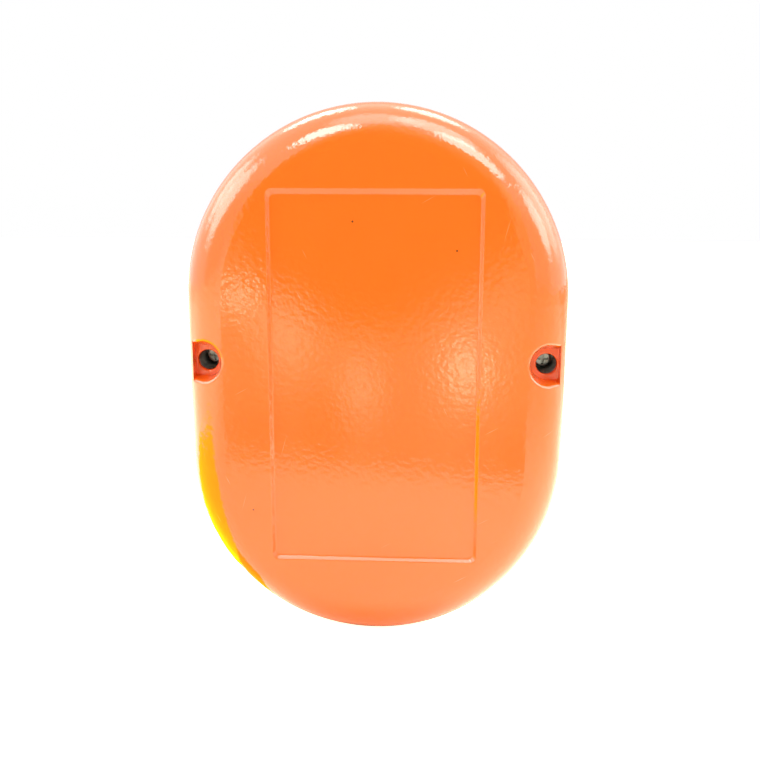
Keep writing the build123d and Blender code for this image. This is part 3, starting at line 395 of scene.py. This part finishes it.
def make_world():
    """White surroundings: pure white to the eye, even fill light, and lamps in the gloss."""
    world = bpy.data.worlds.new("studio")
    bpy.context.scene.world = world
    world.use_nodes = True
    sky = Nodes(world.node_tree)
    way = sky.node("ShaderNodeTexCoord").outputs["Generated"]
    gloss = SKY_LEVEL
    for azimuth, elevation, radius, edge, level in GLOSS_LAMPS:
        toward = sky.vector_math("DOT_PRODUCT", way, heading(azimuth, elevation))
        rim = math.cos(math.radians(radius + edge))
        full = math.cos(math.radians(radius))
        gloss = sky.math("MULTIPLY_ADD", sky.fade(toward, rim, full), level, gloss)
    paths = sky.node("ShaderNodeLightPath")
    seen = sky.math("MULTIPLY_ADD", paths.outputs["Is Camera Ray"], 1.0 - FILL_LEVEL, FILL_LEVEL)
    extra = sky.math("MULTIPLY", sky.math("SUBTRACT", gloss, FILL_LEVEL), paths.outputs["Is Glossy Ray"])
    back = sky.tree.nodes["Background"]
    sky.put(back.inputs["Color"], (1.0, 1.0, 1.0))
    sky.put(back.inputs["Strength"], sky.math("ADD", seen, extra))


# Soft lamps that light the surfaces themselves: azimuth, elevation, width, height and power.
# Left and right are as the camera sees them.
LAMP_DISTANCE = 0.9
LAMPS = {
    "lamp_above_left": (30, 50, 0.30, 0.22, 2.1),
    "lamp_above_right": (-44, 46, 0.34, 0.26, 2.3),
    "lamp_left": (80, 28, 0.40, 0.30, 2.0),
    "lamp_right": (-95, 28, 0.40, 0.30, 2.0),
    "lamp_front_left": (150, 50, 0.30, 0.26, 2.4),
    "lamp_front_right": (-155, 50, 0.30, 0.26, 2.2),
}


def make_lamps():
    for name, (azimuth, elevation, width, height, power) in LAMPS.items():
        data = bpy.data.lights.new(name, "AREA")
        data.shape = "RECTANGLE"
        data.size = width
        data.size_y = height
        data.energy = power
        lamp = bpy.data.objects.new(name, data)
        bpy.context.scene.collection.objects.link(lamp)
        way = heading(azimuth, elevation)
        lamp.location = way * LAMP_DISTANCE
        lamp.rotation_mode = "QUATERNION"
        lamp.rotation_quaternion = way.to_track_quat("Z", "Y")
        lamp.visible_camera = False
        lamp.visible_glossy = False


make_floor()
make_room_card()
make_yellow_sheets()
make_world()
make_lamps()
bpy.context.scene.view_settings.view_transform = "Standard"

# ---- materials -------------------------------------------------------------------------


def shade(colour, factor):
    return tuple(min(1.0, channel * factor) for channel in colour)


# Turn and length of the scratches in each of the layers on the glossy plastic, their width, and
# how deep each one's cell goes into the plastic
SCRATCHES = ((0.5, 0.012), (-1.1, 0.008), (1.3, 0.016))
SCRATCH_WIDTH = 0.7 * MM
SCRATCH_DEPTH = 16.0 * MM


def glossy_shell(name, colour, dark, pale):
    """Moulded ABS: orange-peel ripple, slow waves, dark specks and a few pale scratches."""
    look = Look(name, IOR=1.5)
    tone = look.blend(look.noise(45.0, 2.0), shade(colour, 0.97), shade(colour, 1.03))
    distance, chance = look.cells(160.0)
    speck = look.math("LESS_THAN", distance, 0.036)
    picked = look.math("GREATER_THAN", look.axis("X", chance), 0.50)
    tone = look.blend(look.math("MULTIPLY", speck, picked), tone, dark)
    for turn, length in SCRATCHES:
        grid = look.cell_frame((length, SCRATCH_DEPTH, SCRATCH_WIDTH), turn, length)
        reach, chance = look.cells(1.0, grid)
        thin = look.ramp(reach, (0.0, 0.45), (0.18, 0.0))
        few = look.math("GREATER_THAN", look.axis("X", chance), 0.985)
        tone = look.blend(look.math("MULTIPLY", thin, few), tone, pale)
    look.colour(tone)
    look.rough(look.ramp(look.noise(180.0, 3.0), (0.3, 0.05), (0.8, 0.10)))
    ripple = look.noise(820.0, 1.5)
    return look.bump((look.noise(60.0, 1.0), 0.00003), (ripple, 0.000055)).material


def grained_plastic(name, colour, rough, grain=0.00004, scale=2600.0):
    """Moulded plastic with a spark-eroded grain, a little dust in it and handling marks."""
    look = Look(name, IOR=1.48)
    tone = look.blend(look.noise(70.0, 3.0), shade(colour, 0.86), shade(colour, 1.12))
    dust = look.ramp(look.noise(420.0, 5.0), (0.60, 0.0), (0.80, 0.10))
    look.colour(look.blend(dust, tone, (0.55, 0.52, 0.48)))
    look.rough(look.ramp(look.noise(150.0, 4.0), (0.3, rough - 0.08), (0.75, rough + 0.10)))
    return look.bump((look.noise(40.0, 1.0), 0.00004), (look.noise(scale, 2.0), grain)).material


def metal(name, colour, rough, brush=(1.0, 1.0, 1.0), tarnish=0.5):
    """Steel or plating with fine drawn lines, dull patches and a few spots of tarnish."""
    look = Look(name, Metallic=1.0)
    drawn = look.noise(900.0, 3.0, look.mapped(scale=brush))
    tone = look.blend(drawn, shade(colour, 0.88), shade(colour, 1.08))
    spots = look.ramp(look.noise(260.0, 6.0), (0.60, 0.0), (0.74, tarnish))
    look.colour(look.blend(spots, tone, shade(colour, 0.45)))
    look.rough(look.ramp(look.noise(500.0, 4.0), (0.3, rough), (0.8, rough + 0.22)))
    return look.bump((drawn, 0.000012), (look.noise(120.0, 2.0), 0.00002)).material


def insulation(name, colour):
    """Soft PVC: slightly uneven gloss, finger marks and a fine extruded ripple."""
    look = Look(name, IOR=1.5, Specular_IOR_Level=0.45)
    smear = look.noise(240.0, 4.0)
    look.colour(look.blend(smear, shade(colour, 0.80), shade(colour, 1.15)))
    look.rough(look.ramp(smear, (0.3, 0.32), (0.75, 0.55)))
    return look.bump((look.noise(1500.0, 2.0), 0.00002)).material


def speaker_paper():
    """Pressed grey-black paper: long fibres and rings from the press."""
    look = Look("speaker_paper", Specular_IOR_Level=0.25)
    low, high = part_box("speaker_cone")
    centre = (low + high) / 2
    about = look.mapped(move=tuple(-centre))
    rings = look.node("ShaderNodeTexWave", wave_type="RINGS", rings_direction="Y")
    look.put(rings.inputs["Vector"], about)
    rings.inputs["Scale"].default_value = 160.0
    rings.inputs["Distortion"].default_value = 0.6
    fibres = look.noise(1400.0, 6.0, look.mapped(scale=(1.0, 0.3, 0.5)), 2.0)
    tone = look.blend(fibres, (0.030, 0.028, 0.026), (0.085, 0.080, 0.074))
    look.colour(look.blend(0.25, tone, rings.outputs["Color"], "MULTIPLY"))
    look.rough(look.ramp(fibres, (0.2, 0.82), (0.8, 0.95)))
    return look.bump((rings.outputs["Fac"], 0.00008), (fibres, 0.00006)).material


def fibrous(name, colour, pale, depth):
    """Felt: matted fibres in every direction, with a soft sheen."""
    look = Look(name, Specular_IOR_Level=0.2, Sheen_Weight=0.4, Sheen_Roughness=0.6)
    mat = look.noise(1900.0, 7.0, distortion=3.5)
    clumps = look.noise(260.0, 4.0)
    look.colour(look.blend(look.math("MULTIPLY", mat, clumps), colour, pale))
    look.rough(look.ramp(mat, (0.2, 0.88), (0.8, 0.98)))
    return look.bump((clumps, depth * 1.5), (mat, depth)).material


def open_foam():
    """Open-cell foam: thin walls, with painted shade darkening the pores between them."""
    look = Look("gasket_foam", Specular_IOR_Level=0.2)
    reach, chance = look.cells(1900.0)
    walls = look.ramp(reach, (0.15, 0.0), (0.65, 1.0))
    # Painted shade: the pores are coloured darker than the walls, as the shade that falls in them.
    tone = look.blend(walls, (0.012, 0.012, 0.013), (0.075, 0.075, 0.078))
    look.colour(look.blend(0.2, tone, chance, "MULTIPLY"))
    look.rough(look.ramp(walls, (0.0, 0.98), (1.0, 0.82)))
    return look.bump((walls, 0.00014)).material


def boot_rubber():
    """Matt black rubber with bloom and a fine moulding texture."""
    look = Look("boot_rubber", IOR=1.52, Specular_IOR_Level=0.35)
    bloom = look.ramp(look.noise(160.0, 5.0), (0.45, 0.0), (0.75, 0.35))
    look.colour(look.blend(bloom, (0.012, 0.012, 0.012), (0.075, 0.072, 0.068)))
    look.rough(look.ramp(look.noise(700.0, 3.0), (0.3, 0.62), (0.7, 0.85)))
    return look.bump((look.noise(2200.0, 2.0), 0.00003)).material


def ferrite():
    """Sintered ferrite: near black, finely pitted, with chipped paler spots."""
    look = Look("magnet_ferrite", Specular_IOR_Level=0.4)
    pits = look.noise(1500.0, 6.0)
    chips = look.ramp(look.noise(330.0, 4.0), (0.66, 0.0), (0.72, 0.6))
    tone = look.blend(pits, (0.018, 0.018, 0.020), (0.060, 0.060, 0.064))
    look.colour(look.blend(chips, tone, (0.14, 0.13, 0.13)))
    look.rough(look.ramp(pits, (0.3, 0.55), (0.7, 0.80)))
    return look.bump((pits, 0.00004), (chips, 0.00003)).material


# Settings of the brick pattern whose gaps are the circuit board's tracks
TRACKS = {
    "Scale": 150.0,
    "Mortar Size": 0.085,
    "Mortar Smooth": 0.1,
    "Brick Width": 1.3,
    "Row Height": 0.42,
}


def circuit_board():
    """Green solder mask over copper tracks, with the glass weave just showing through."""
    look = Look("board_green", IOR=1.5)
    bricks = look.node("ShaderNodeTexBrick", offset=0.37, squash=1.7, squash_frequency=3)
    look.put(bricks.inputs["Vector"], look.mapped(turn=(math.pi / 2, 0, 0)))
    for socket, value in TRACKS.items():
        bricks.inputs[socket].default_value = value
    tracks = bricks.outputs["Fac"]
    weave = look.node("ShaderNodeTexWave", bands_direction="DIAGONAL")
    look.put(weave.inputs["Vector"], look.mapped(scale=(1.0, 0.0, 1.0)))
    weave.inputs["Scale"].default_value = 900.0
    weave.inputs["Distortion"].default_value = 1.5
    mask = look.blend(weave.outputs["Fac"], (0.004, 0.060, 0.020), (0.006, 0.090, 0.030))
    tone = look.blend(tracks, mask, (0.020, 0.170, 0.060))
    look.colour(look.blend(look.noise(60.0, 3.0), tone, (0.010, 0.110, 0.036)))
    look.rough(look.ramp(look.noise(300.0, 3.0), (0.3, 0.22), (0.8, 0.38)))
    return look.bump((tracks, 0.00004), (weave.outputs["Fac"], 0.00001)).material


CAPACITOR_RIM = 0.3 * MM   # height of bare can above the sleeve
CHIP_BODY = 1.97 * MM      # half width of a chip's body, past which its legs begin


def chip_epoxy():
    """Black moulding compound with a fine grain, and tinned legs down both sides."""
    look = Look("chip_epoxy", IOR=1.5)
    low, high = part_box("audio_chip")
    middle = abs(low.x + high.x) / 2    # both chips stand this far from x = 0
    aside = look.math("SUBTRACT", look.math("ABSOLUTE", look.axis("X")), middle)
    legs = look.math("GREATER_THAN", look.math("ABSOLUTE", aside), CHIP_BODY)
    grain = look.noise(2400.0, 3.0)
    moulding = look.blend(grain, (0.012, 0.012, 0.013), (0.024, 0.024, 0.025))
    look.colour(look.blend(legs, moulding, (0.66, 0.66, 0.67)))
    look.put(look.shader.inputs["Metallic"], legs)
    look.rough(look.ramp(look.noise(400.0, 2.0), (0.3, 0.42), (0.7, 0.58)))
    return look.bump((grain, 0.00003)).material


def band_paint(name, colour):
    """Enamel of a resistor's colour band, slightly uneven."""
    look = Look(name, IOR=1.5)
    patchy = look.noise(1600.0, 2.0)
    look.colour(look.blend(patchy, shade(colour, 0.8), shade(colour, 1.2)))
    look.rough(look.ramp(patchy, (0.3, 0.28), (0.7, 0.40)))
    return look.bump((patchy, 0.00001)).material


def capacitor_sleeve():
    """Shrunk plastic sleeve, dark blue, with pale marks down its sides."""
    look = Look("capacitor_sleeve", IOR=1.5)
    wrinkle = look.noise(420.0, 3.0, look.mapped(scale=(1.0, 3.0, 1.0)))
    base = look.blend(wrinkle, (0.008, 0.014, 0.050), (0.018, 0.030, 0.095))
    stripe = look.node("ShaderNodeTexWave", bands_direction="X")
    look.put(stripe.inputs["Vector"], look.place)
    stripe.inputs["Scale"].default_value = 38.0
    marks = look.ramp(stripe.outputs["Fac"], (0.93, 0.0), (0.95, 0.85))
    sleeve = look.blend(marks, base, (0.46, 0.50, 0.58))
    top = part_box("electrolytic_capacitors")[0].y
    bare = look.math("LESS_THAN", look.axis("Y"), top + CAPACITOR_RIM)
    look.colour(look.blend(bare, sleeve, (0.70, 0.70, 0.71)))
    look.put(look.shader.inputs["Metallic"], bare)
    look.rough(look.ramp(wrinkle, (0.3, 0.26), (0.8, 0.42)))
    return look.bump((wrinkle, 0.00003)).material


def ceramic():
    """Dipped ceramic: ochre, mottled, with a waxy uneven coat."""
    look = Look("capacitor_ceramic", IOR=1.5, Subsurface_Weight=0.05)
    mottle = look.noise(650.0, 5.0)
    look.colour(look.blend(mottle, (0.40, 0.19, 0.045), (0.62, 0.34, 0.10)))
    look.rough(look.ramp(mottle, (0.3, 0.35), (0.7, 0.60)))
    return look.bump((look.noise(520.0, 2.0), 0.00006)).material


def resistor_body():
    """Baked tan lacquer with a faint speckle."""
    look = Look("resistor_body", IOR=1.5)
    speckle = look.noise(2100.0, 3.0)
    look.colour(look.blend(speckle, (0.48, 0.33, 0.18), (0.62, 0.46, 0.28)))
    look.rough(look.ramp(look.noise(500.0, 2.0), (0.3, 0.30), (0.7, 0.45)))
    return look.bump((look.noise(900.0, 2.0), 0.00003)).material


CELL_STEEL = (0.60, 0.60, 0.60)
CELL_BLUE = (0.030, 0.055, 0.095)
CELL_PALE = (0.45, 0.46, 0.47)
CELL_FOOT = 0.035          # shares of a cell's height where the wrap and its pale band begin and end
CELL_TOP = 0.955
CELL_BAND = (0.60, 0.64)


def cell_wrap():
    """AA cells: a plain grey-blue wrap with one pale band, and bare steel at both ends."""
    look = Look("cell_wrap", IOR=1.5)
    low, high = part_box("battery_cells")
    span = high.z - low.z
    height = look.math("DIVIDE", look.math("SUBTRACT", look.axis("Z"), low.z), span)
    rubbed = look.noise(600.0, 6.0, look.mapped(scale=(1.0, 1.0, 0.15)))
    scuffs = look.ramp(rubbed, (0.64, 0.0), (0.72, 0.5))
    wrap = look.ramp(height, (0.0, CELL_STEEL), (CELL_FOOT, CELL_BLUE), (CELL_BAND[0], CELL_PALE),
                     (CELL_BAND[1], CELL_BLUE), (CELL_TOP, CELL_STEEL), change="CONSTANT")
    look.colour(look.blend(scuffs, wrap, (0.55, 0.55, 0.54)))
    ends = look.ramp(height, (0.0, 1.0), (CELL_FOOT, 0.0), (CELL_TOP, 1.0), change="CONSTANT")
    look.put(look.shader.inputs["Metallic"], ends)
    look.rough(look.ramp(look.noise(240.0, 4.0), (0.3, 0.24), (0.8, 0.42)))
    return look.bump((look.noise(90.0, 2.0), 0.00004)).material


def lens(name, colour):
    """Tinted clear plastic, a little cloudy inside."""
    look = Look(name, IOR=1.5, Transmission_Weight=0.6)
    cloud = look.noise(500.0, 4.0)
    look.colour(look.blend(cloud, shade(colour, 0.8), shade(colour, 1.15)))
    look.rough(look.ramp(look.noise(300.0, 3.0), (0.3, 0.05), (0.8, 0.16)))
    return look.bump((look.noise(400.0, 1.0), 0.00002)).material


ORANGE = (0.90, 0.169, 0.014)
YELLOW = (0.88, 0.52, 0.012)
MATERIALS = {
    "orange_plastic": glossy_shell("orange_plastic", ORANGE, (0.10, 0.02, 0.01), (0.95, 0.42, 0.20)),
    "yellow_plastic": glossy_shell("yellow_plastic", YELLOW, (0.12, 0.06, 0.01), (0.95, 0.75, 0.35)),
    "charcoal_plastic": grained_plastic("charcoal_plastic", (0.045, 0.047, 0.050), 0.38),
    "black_plastic": grained_plastic("black_plastic", (0.020, 0.020, 0.021), 0.45),
    "switch_plastic": grained_plastic("switch_plastic", (0.028, 0.029, 0.032), 0.35, 0.00002),
    "white_plastic": grained_plastic("white_plastic", (0.74, 0.72, 0.66), 0.35, 0.00002),
    "chip_epoxy": chip_epoxy(),
    "plated_steel": metal("plated_steel", (0.42, 0.42, 0.43), 0.26),
    "bright_steel": metal("bright_steel", (0.74, 0.74, 0.75), 0.16, (1.0, 0.2, 1.0), 0.25),
    "pressed_steel": metal("pressed_steel", (0.52, 0.52, 0.53), 0.34, (0.3, 1.0, 1.0)),
    "copper_wire": metal("copper_wire", (0.72, 0.30, 0.13), 0.20, (0.2, 1.0, 1.0), 0.35),
    "red_insulation": insulation("red_insulation", (0.50, 0.015, 0.012)),
    "black_insulation": insulation("black_insulation", (0.014, 0.014, 0.015)),
    "grey_insulation": insulation("grey_insulation", (0.22, 0.22, 0.23)),
    "speaker_paper": speaker_paper(),
    "felt": fibrous("grille_felt", (0.010, 0.010, 0.011), (0.080, 0.078, 0.076), 0.00010),
    "foam": open_foam(),
    "boot_rubber": boot_rubber(),
    "ferrite": ferrite(),
    "board_green": circuit_board(),
    "capacitor_sleeve": capacitor_sleeve(),
    "ceramic": ceramic(),
    "resistor_body": resistor_body(),
    "cell_wrap": cell_wrap(),
    "lens_plastic": lens("lens_plastic", (0.70, 0.02, 0.015)),
}


def dress_nodes():
    """Gives each CAD node the material of the slot that the record names for it."""
    for node in NODES.values():
        slot_name = node.data.materials[0].name.split(".")[0]
        node.data.materials.clear()
        node.data.materials.append(MATERIALS[slot_name])


dress_nodes()

# ---- detailed pieces -------------------------------------------------------------------


def finish_piece(name, mesh, body, slot_name, *stands_for):
    """Makes an object of a mesh, gives it its material and lets it ride on a body."""
    for face in mesh.polygons:
        face.use_smooth = True
    piece = bpy.data.objects.new(name, mesh)
    bpy.context.scene.collection.objects.link(piece)
    piece.data.materials.append(MATERIALS[slot_name])
    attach(piece, body)
    if stands_for:
        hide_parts(*stands_for)
    return piece


def circle(across, up, sides):
    """Unit vectors all round the circle that lies along two directions."""
    turns = [2 * math.pi * step / sides for step in range(sides)]
    return [across * math.cos(turn) + up * math.sin(turn) for turn in turns]


def skin(form, rings):
    """Joins rings of vertices into a closed surface. The last ring may be a single point."""
    form.faces.new(rings[0])
    for one, two in zip(rings, rings[1:]):
        for step in range(len(one)):
            other = (step + 1) % len(one)
            if len(two) == 1:
                form.faces.new((one[step], one[other], two[0]))
            else:
                form.faces.new((one[step], one[other], two[other], two[step]))
    if len(rings[-1]) > 1:
        form.faces.new(rings[-1])


def tube(form, points, radius, sides=10):
    """Adds a round closed tube along a list of points to a bmesh."""
    rings = []
    across = None
    for index, point in enumerate(points):
        before = points[max(index - 1, 0)]
        after = points[min(index + 1, len(points) - 1)]
        along = (after - before).normalized()
        if across is None:
            across = along.orthogonal().normalized()
        across = (across - along * across.dot(along)).normalized()
        ways = circle(across, along.cross(across), sides)
        rings.append([form.verts.new(point + way * radius) for way in ways])
    skin(form, rings)


def lathe(form, foot, axis, outline, sides=16):
    """Adds a closed turned shape to a bmesh. outline is (radius, height) points in mm."""
    across = axis.orthogonal().normalized()
    ways = circle(across, axis.cross(across), sides)
    rings = []
    for radius, height in outline:
        here = foot + axis * height * MM
        if radius == 0:
            rings.append([form.verts.new(here)])
        else:
            rings.append([form.verts.new(here + way * radius * MM) for way in ways])
    skin(form, rings)


def new_mesh(name, form):
    """Turns a bmesh into a mesh, with its faces outward."""
    bmesh.ops.recalc_face_normals(form, faces=form.faces)
    mesh = bpy.data.meshes.new(name)
    form.to_mesh(mesh)
    form.free()
    return mesh


def helix(centre, start, end, axis, radii, turns, dead=0.0, steps=28):
    """Points of a coil from start to end along an axis. radii are its first and last radius, and
    dead is the share of its turns that lie flat at each end."""
    across = axis.orthogonal().normalized()
    up = axis.cross(across)
    count = int(turns * steps)
    points = []
    for index in range(count + 1):
        share = index / count
        angle = 2 * math.pi * turns * share
        rise = min(1.0, max(0.0, (share - dead) / (1.0 - 2 * dead)))
        radius = radii[0] + (radii[1] - radii[0]) * share
        place = centre + axis * (start + (end - start) * rise)
        points.append(place + (across * math.cos(angle) + up * math.sin(angle)) * radius)
    return points


def islands(node):
    """The boxes of a node's separate solids, as (lowest corner, highest corner)."""
    form = bmesh.new()
    form.from_mesh(NODES[node].data)
    bmesh.ops.remove_doubles(form, verts=form.verts, dist=1e-6)
    seen = set()
    boxes = []
    for vertex in form.verts:
        if vertex in seen:
            continue
        group = []
        queue = [vertex]
        seen.add(vertex)
        while queue:
            here = queue.pop()
            group.append(here.co.copy())
            for edge in here.link_edges:
                there = edge.other_vert(here)
                if there not in seen:
                    seen.add(there)
                    queue.append(there)
        low = Vector(min(co[axis] for co in group) for axis in range(3))
        high = Vector(max(co[axis] for co in group) for axis in range(3))
        boxes.append((low, high))
    form.free()
    return boxes


SIDEWAYS = Vector((1, 0, 0))
FORWARD = Vector((0, -1, 0))
BACKWARD = Vector((0, 1, 0))
BUTTON_SPRING_WIRE = 0.7 * MM
BUTTON_SPRING_FLAT = 0.12  # share of its turns that lie flat at each end
# Each button spring's joint, number of turns and the share of its length that is left at full travel
BUTTON_SPRINGS = {"ptt_spring": ("ptt_press", 6.5, 0.90), "call_spring": ("call_press", 5.5, 0.88)}


def make_button_springs():
    """Coil springs with flat ground ends."""
    for node, (joint, turns, keep) in BUTTON_SPRINGS.items():
        low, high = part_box(node)
        centre = (low + high) / 2
        seat = Vector((centre.x, high.y, centre.z))
        wire = BUTTON_SPRING_WIRE / 2
        radius = (high.x - low.x) / 2 - wire
        form = bmesh.new()
        length = high.y - low.y - wire
        tube(form, helix(seat, wire, length, FORWARD, (radius, radius), turns, BUTTON_SPRING_FLAT), wire)
        name = node + "_coil"
        coil = finish_piece(name, new_mesh(name, form), "casing", "bright_steel", node)
        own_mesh(coil)


BATTERY_WIRE = 0.6 * MM
BATTERY_FOOT = 4.4 * MM    # radius of a battery spring's wide end, and of its small one
BATTERY_TIP = 2.6 * MM
BATTERY_TURNS = 4.2
BATTERY_FLAT = 0.10        # share of its turns that lie flat at each end


def make_battery_springs():
    """Cone springs that press on the cells, narrowing towards the cell."""
    form = bmesh.new()
    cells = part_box("battery_cells")
    middle = (cells[0].z + cells[1].z) / 2
    wire = BATTERY_WIRE / 2
    radii = (BATTERY_FOOT, BATTERY_TIP)
    for low, high in islands("battery_springs"):
        centre = (low + high) / 2
        at_low_end = centre.z < middle
        seat = Vector((centre.x, centre.y, low.z if at_low_end else high.z))
        axis = Vector((0, 0, 1 if at_low_end else -1))
        length = high.z - low.z - wire
        tube(form, helix(seat, wire, length, axis, radii, BATTERY_TURNS, BATTERY_FLAT), wire, 8)
    name = "battery_spring_coils"
    finish_piece(name, new_mesh(name, form), "casing", "bright_steel", "battery_springs")


WINDING_TURNS = 44


def make_antenna_winding():
    """Enamelled copper wire wound side by side on the former."""
    low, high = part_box("antenna_coil")
    centre = (low + high) / 2
    length = high.x - low.x
    wire = length / WINDING_TURNS / 2
    radius = (high.z - low.z) / 2 - wire
    start = Vector((low.x, centre.y, centre.z))
    form = bmesh.new()
    turns = WINDING_TURNS - 1
    tube(form, helix(start, wire, length - wire, SIDEWAYS, (radius, radius), turns), wire, 6)
    name = "antenna_winding"
    finish_piece(name, new_mesh(name, form), "casing", "copper_wire", "antenna_coil")


# Radius of each kind of screw's shank and height of its head
SCREWS = {
    "case_screws": (1.3 * MM, 1.9 * MM),
    "bracket_screws": (1.0 * MM, 1.3 * MM),
    "board_screws": (1.0 * MM, 1.4 * MM),
    "tray_screws": (1.0 * MM, 1.4 * MM),
}
THREAD_PITCH = 1.0 * MM
THREAD_RIDGE = 0.13 * MM
THREAD_GAP = 0.4 * MM      # plain length at the tip and under the head
THREAD_TAPER = 0.94        # the thread's radius at the tip, as a share of the shank's


def make_screw_threads():
    """The cutting thread of each tapping screw, from its tip almost to its head."""
    for node, (shank, head) in SCREWS.items():
        form = bmesh.new()
        for low, high in islands(node):
            centre = (low + high) / 2
            tip = Vector((centre.x, low.y, centre.z))
            end = high.y - low.y - head - THREAD_GAP
            turns = (end - THREAD_GAP) / THREAD_PITCH
            radii = (shank * THREAD_TAPER, shank)
            tube(form, helix(tip, THREAD_GAP, end, BACKWARD, radii, turns, steps=18), THREAD_RIDGE, 6)
        name = node[:-1] + "_threads"
        finish_piece(name, new_mesh(name, form), "casing", "plated_steel")


# Half the distance between the two leads of each kind of component
LEAD_SPREADS = {
    "resistors": 3.0 * MM,
    "disc_capacitors": 1.2 * MM,
    "electrolytic_capacitors": 1.0 * MM,
    "crystal": 2.4 * MM,
    "tuning_coils": 2.5 * MM,
}
# Outline of a soldered joint, as radius and height above the board's back, in mm
SOLDER = ((0.80, 0.0), (0.62, 0.12), (0.42, 0.34), (0.34, 0.62), (0.33, 1.00), (0.22, 1.12), (0.0, 1.16))


def make_solder_joints():
    """A cone of solder round each lead, on the back of the circuit board."""
    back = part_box("circuit_board")[1].y
    form = bmesh.new()
    for node, spread in LEAD_SPREADS.items():
        for low, high in islands(node):
            centre = (low + high) / 2
            for side in (-1, 1):
                lathe(form, Vector((centre.x + side * spread, back, centre.z)), BACKWARD, SOLDER)
    finish_piece("solder_joints", new_mesh("solder_joints", form), "casing", "bright_steel")


RESISTOR_AXIS = 1.15 * MM  # from the top of a resistor's end cap to its axis
# Radius, half width and softened edge of a colour band, in mm
BAND_RADIUS = 0.98
BAND_HALF = 0.13
BAND_EDGE = 0.04
# Name and colour of each band, and its place along the resistor in mm from the middle
BANDS = (
    ("band_brown", (0.10, 0.030, 0.012), -0.75),
    ("band_black", (0.010, 0.010, 0.010), -0.30),
    ("band_red", (0.42, 0.012, 0.010), 0.15),
    ("band_gold", (0.50, 0.32, 0.08), 0.75),
)


def make_resistor_bands():
    """The painted colour bands round each resistor's body."""
    inner = BAND_RADIUS - BAND_EDGE
    flat = BAND_HALF - BAND_EDGE
    outline = ((inner, -BAND_HALF), (BAND_RADIUS, -flat), (BAND_RADIUS, flat),
               (inner, BAND_HALF), (0.0, BAND_HALF))
    for name, colour, place in BANDS:
        form = bmesh.new()
        for low, high in islands("resistors"):
            centre = (low + high) / 2
            middle = Vector((centre.x + place * MM, low.y + RESISTOR_AXIS, centre.z))
            lathe(form, middle, SIDEWAYS, outline, 28)
        MATERIALS[name] = band_paint(name, colour)
        piece = finish_piece("resistor_" + name, new_mesh("resistor_" + name, form), "casing", name)


# The mark on the volume knob, in mm
POINTER_INNER = 2.7        # where its round ends are centred, from the knob's middle
POINTER_OUTER = 5.9
POINTER_HALF = 0.40        # half its width
POINTER_FLOOR = 0.4        # depth of the groove that the paint lies in
POINTER_PAINT = 0.22       # thickness of the paint
POINTER_EDGE = 0.06        # its softened edge
POINTER_TURN = math.radians(225)
POINTER_STEPS = 8          # facets of each round end


def make_pointer_mark():
    """White paint in the groove of the volume knob: a round-ended bar with a softened top."""
    low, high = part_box("volume_knob")
    centre = Vector(((low.x + high.x) / 2, low.y + POINTER_FLOOR * MM, (low.z + high.z) / 2))
    outward = Vector((math.cos(POINTER_TURN), 0, math.sin(POINTER_TURN)))
    aside = Vector((-outward.z, 0, outward.x))
    form = bmesh.new()
    rings = []
    for inset, height in ((0.0, 0.0), (0.0, POINTER_PAINT - POINTER_EDGE), (POINTER_EDGE, POINTER_PAINT)):
        ring = []
        radius = POINTER_HALF - inset
        for end, start in ((POINTER_OUTER, -math.pi / 2), (POINTER_INNER, math.pi / 2)):
            for step in range(POINTER_STEPS + 1):
                angle = start + math.pi * step / POINTER_STEPS
                reach = outward * (end + radius * math.cos(angle))
                shift = aside * (radius * math.sin(angle))
                ring.append(form.verts.new(centre + (reach + shift + FORWARD * height) * MM))
        rings.append(ring)
    skin(form, rings)
    finish_piece("volume_pointer", new_mesh("volume_pointer", form), "volume", "white_plastic")


make_button_springs()
make_battery_springs()
make_antenna_winding()
make_screw_threads()
make_solder_joints()
make_resistor_bands()
make_pointer_mark()
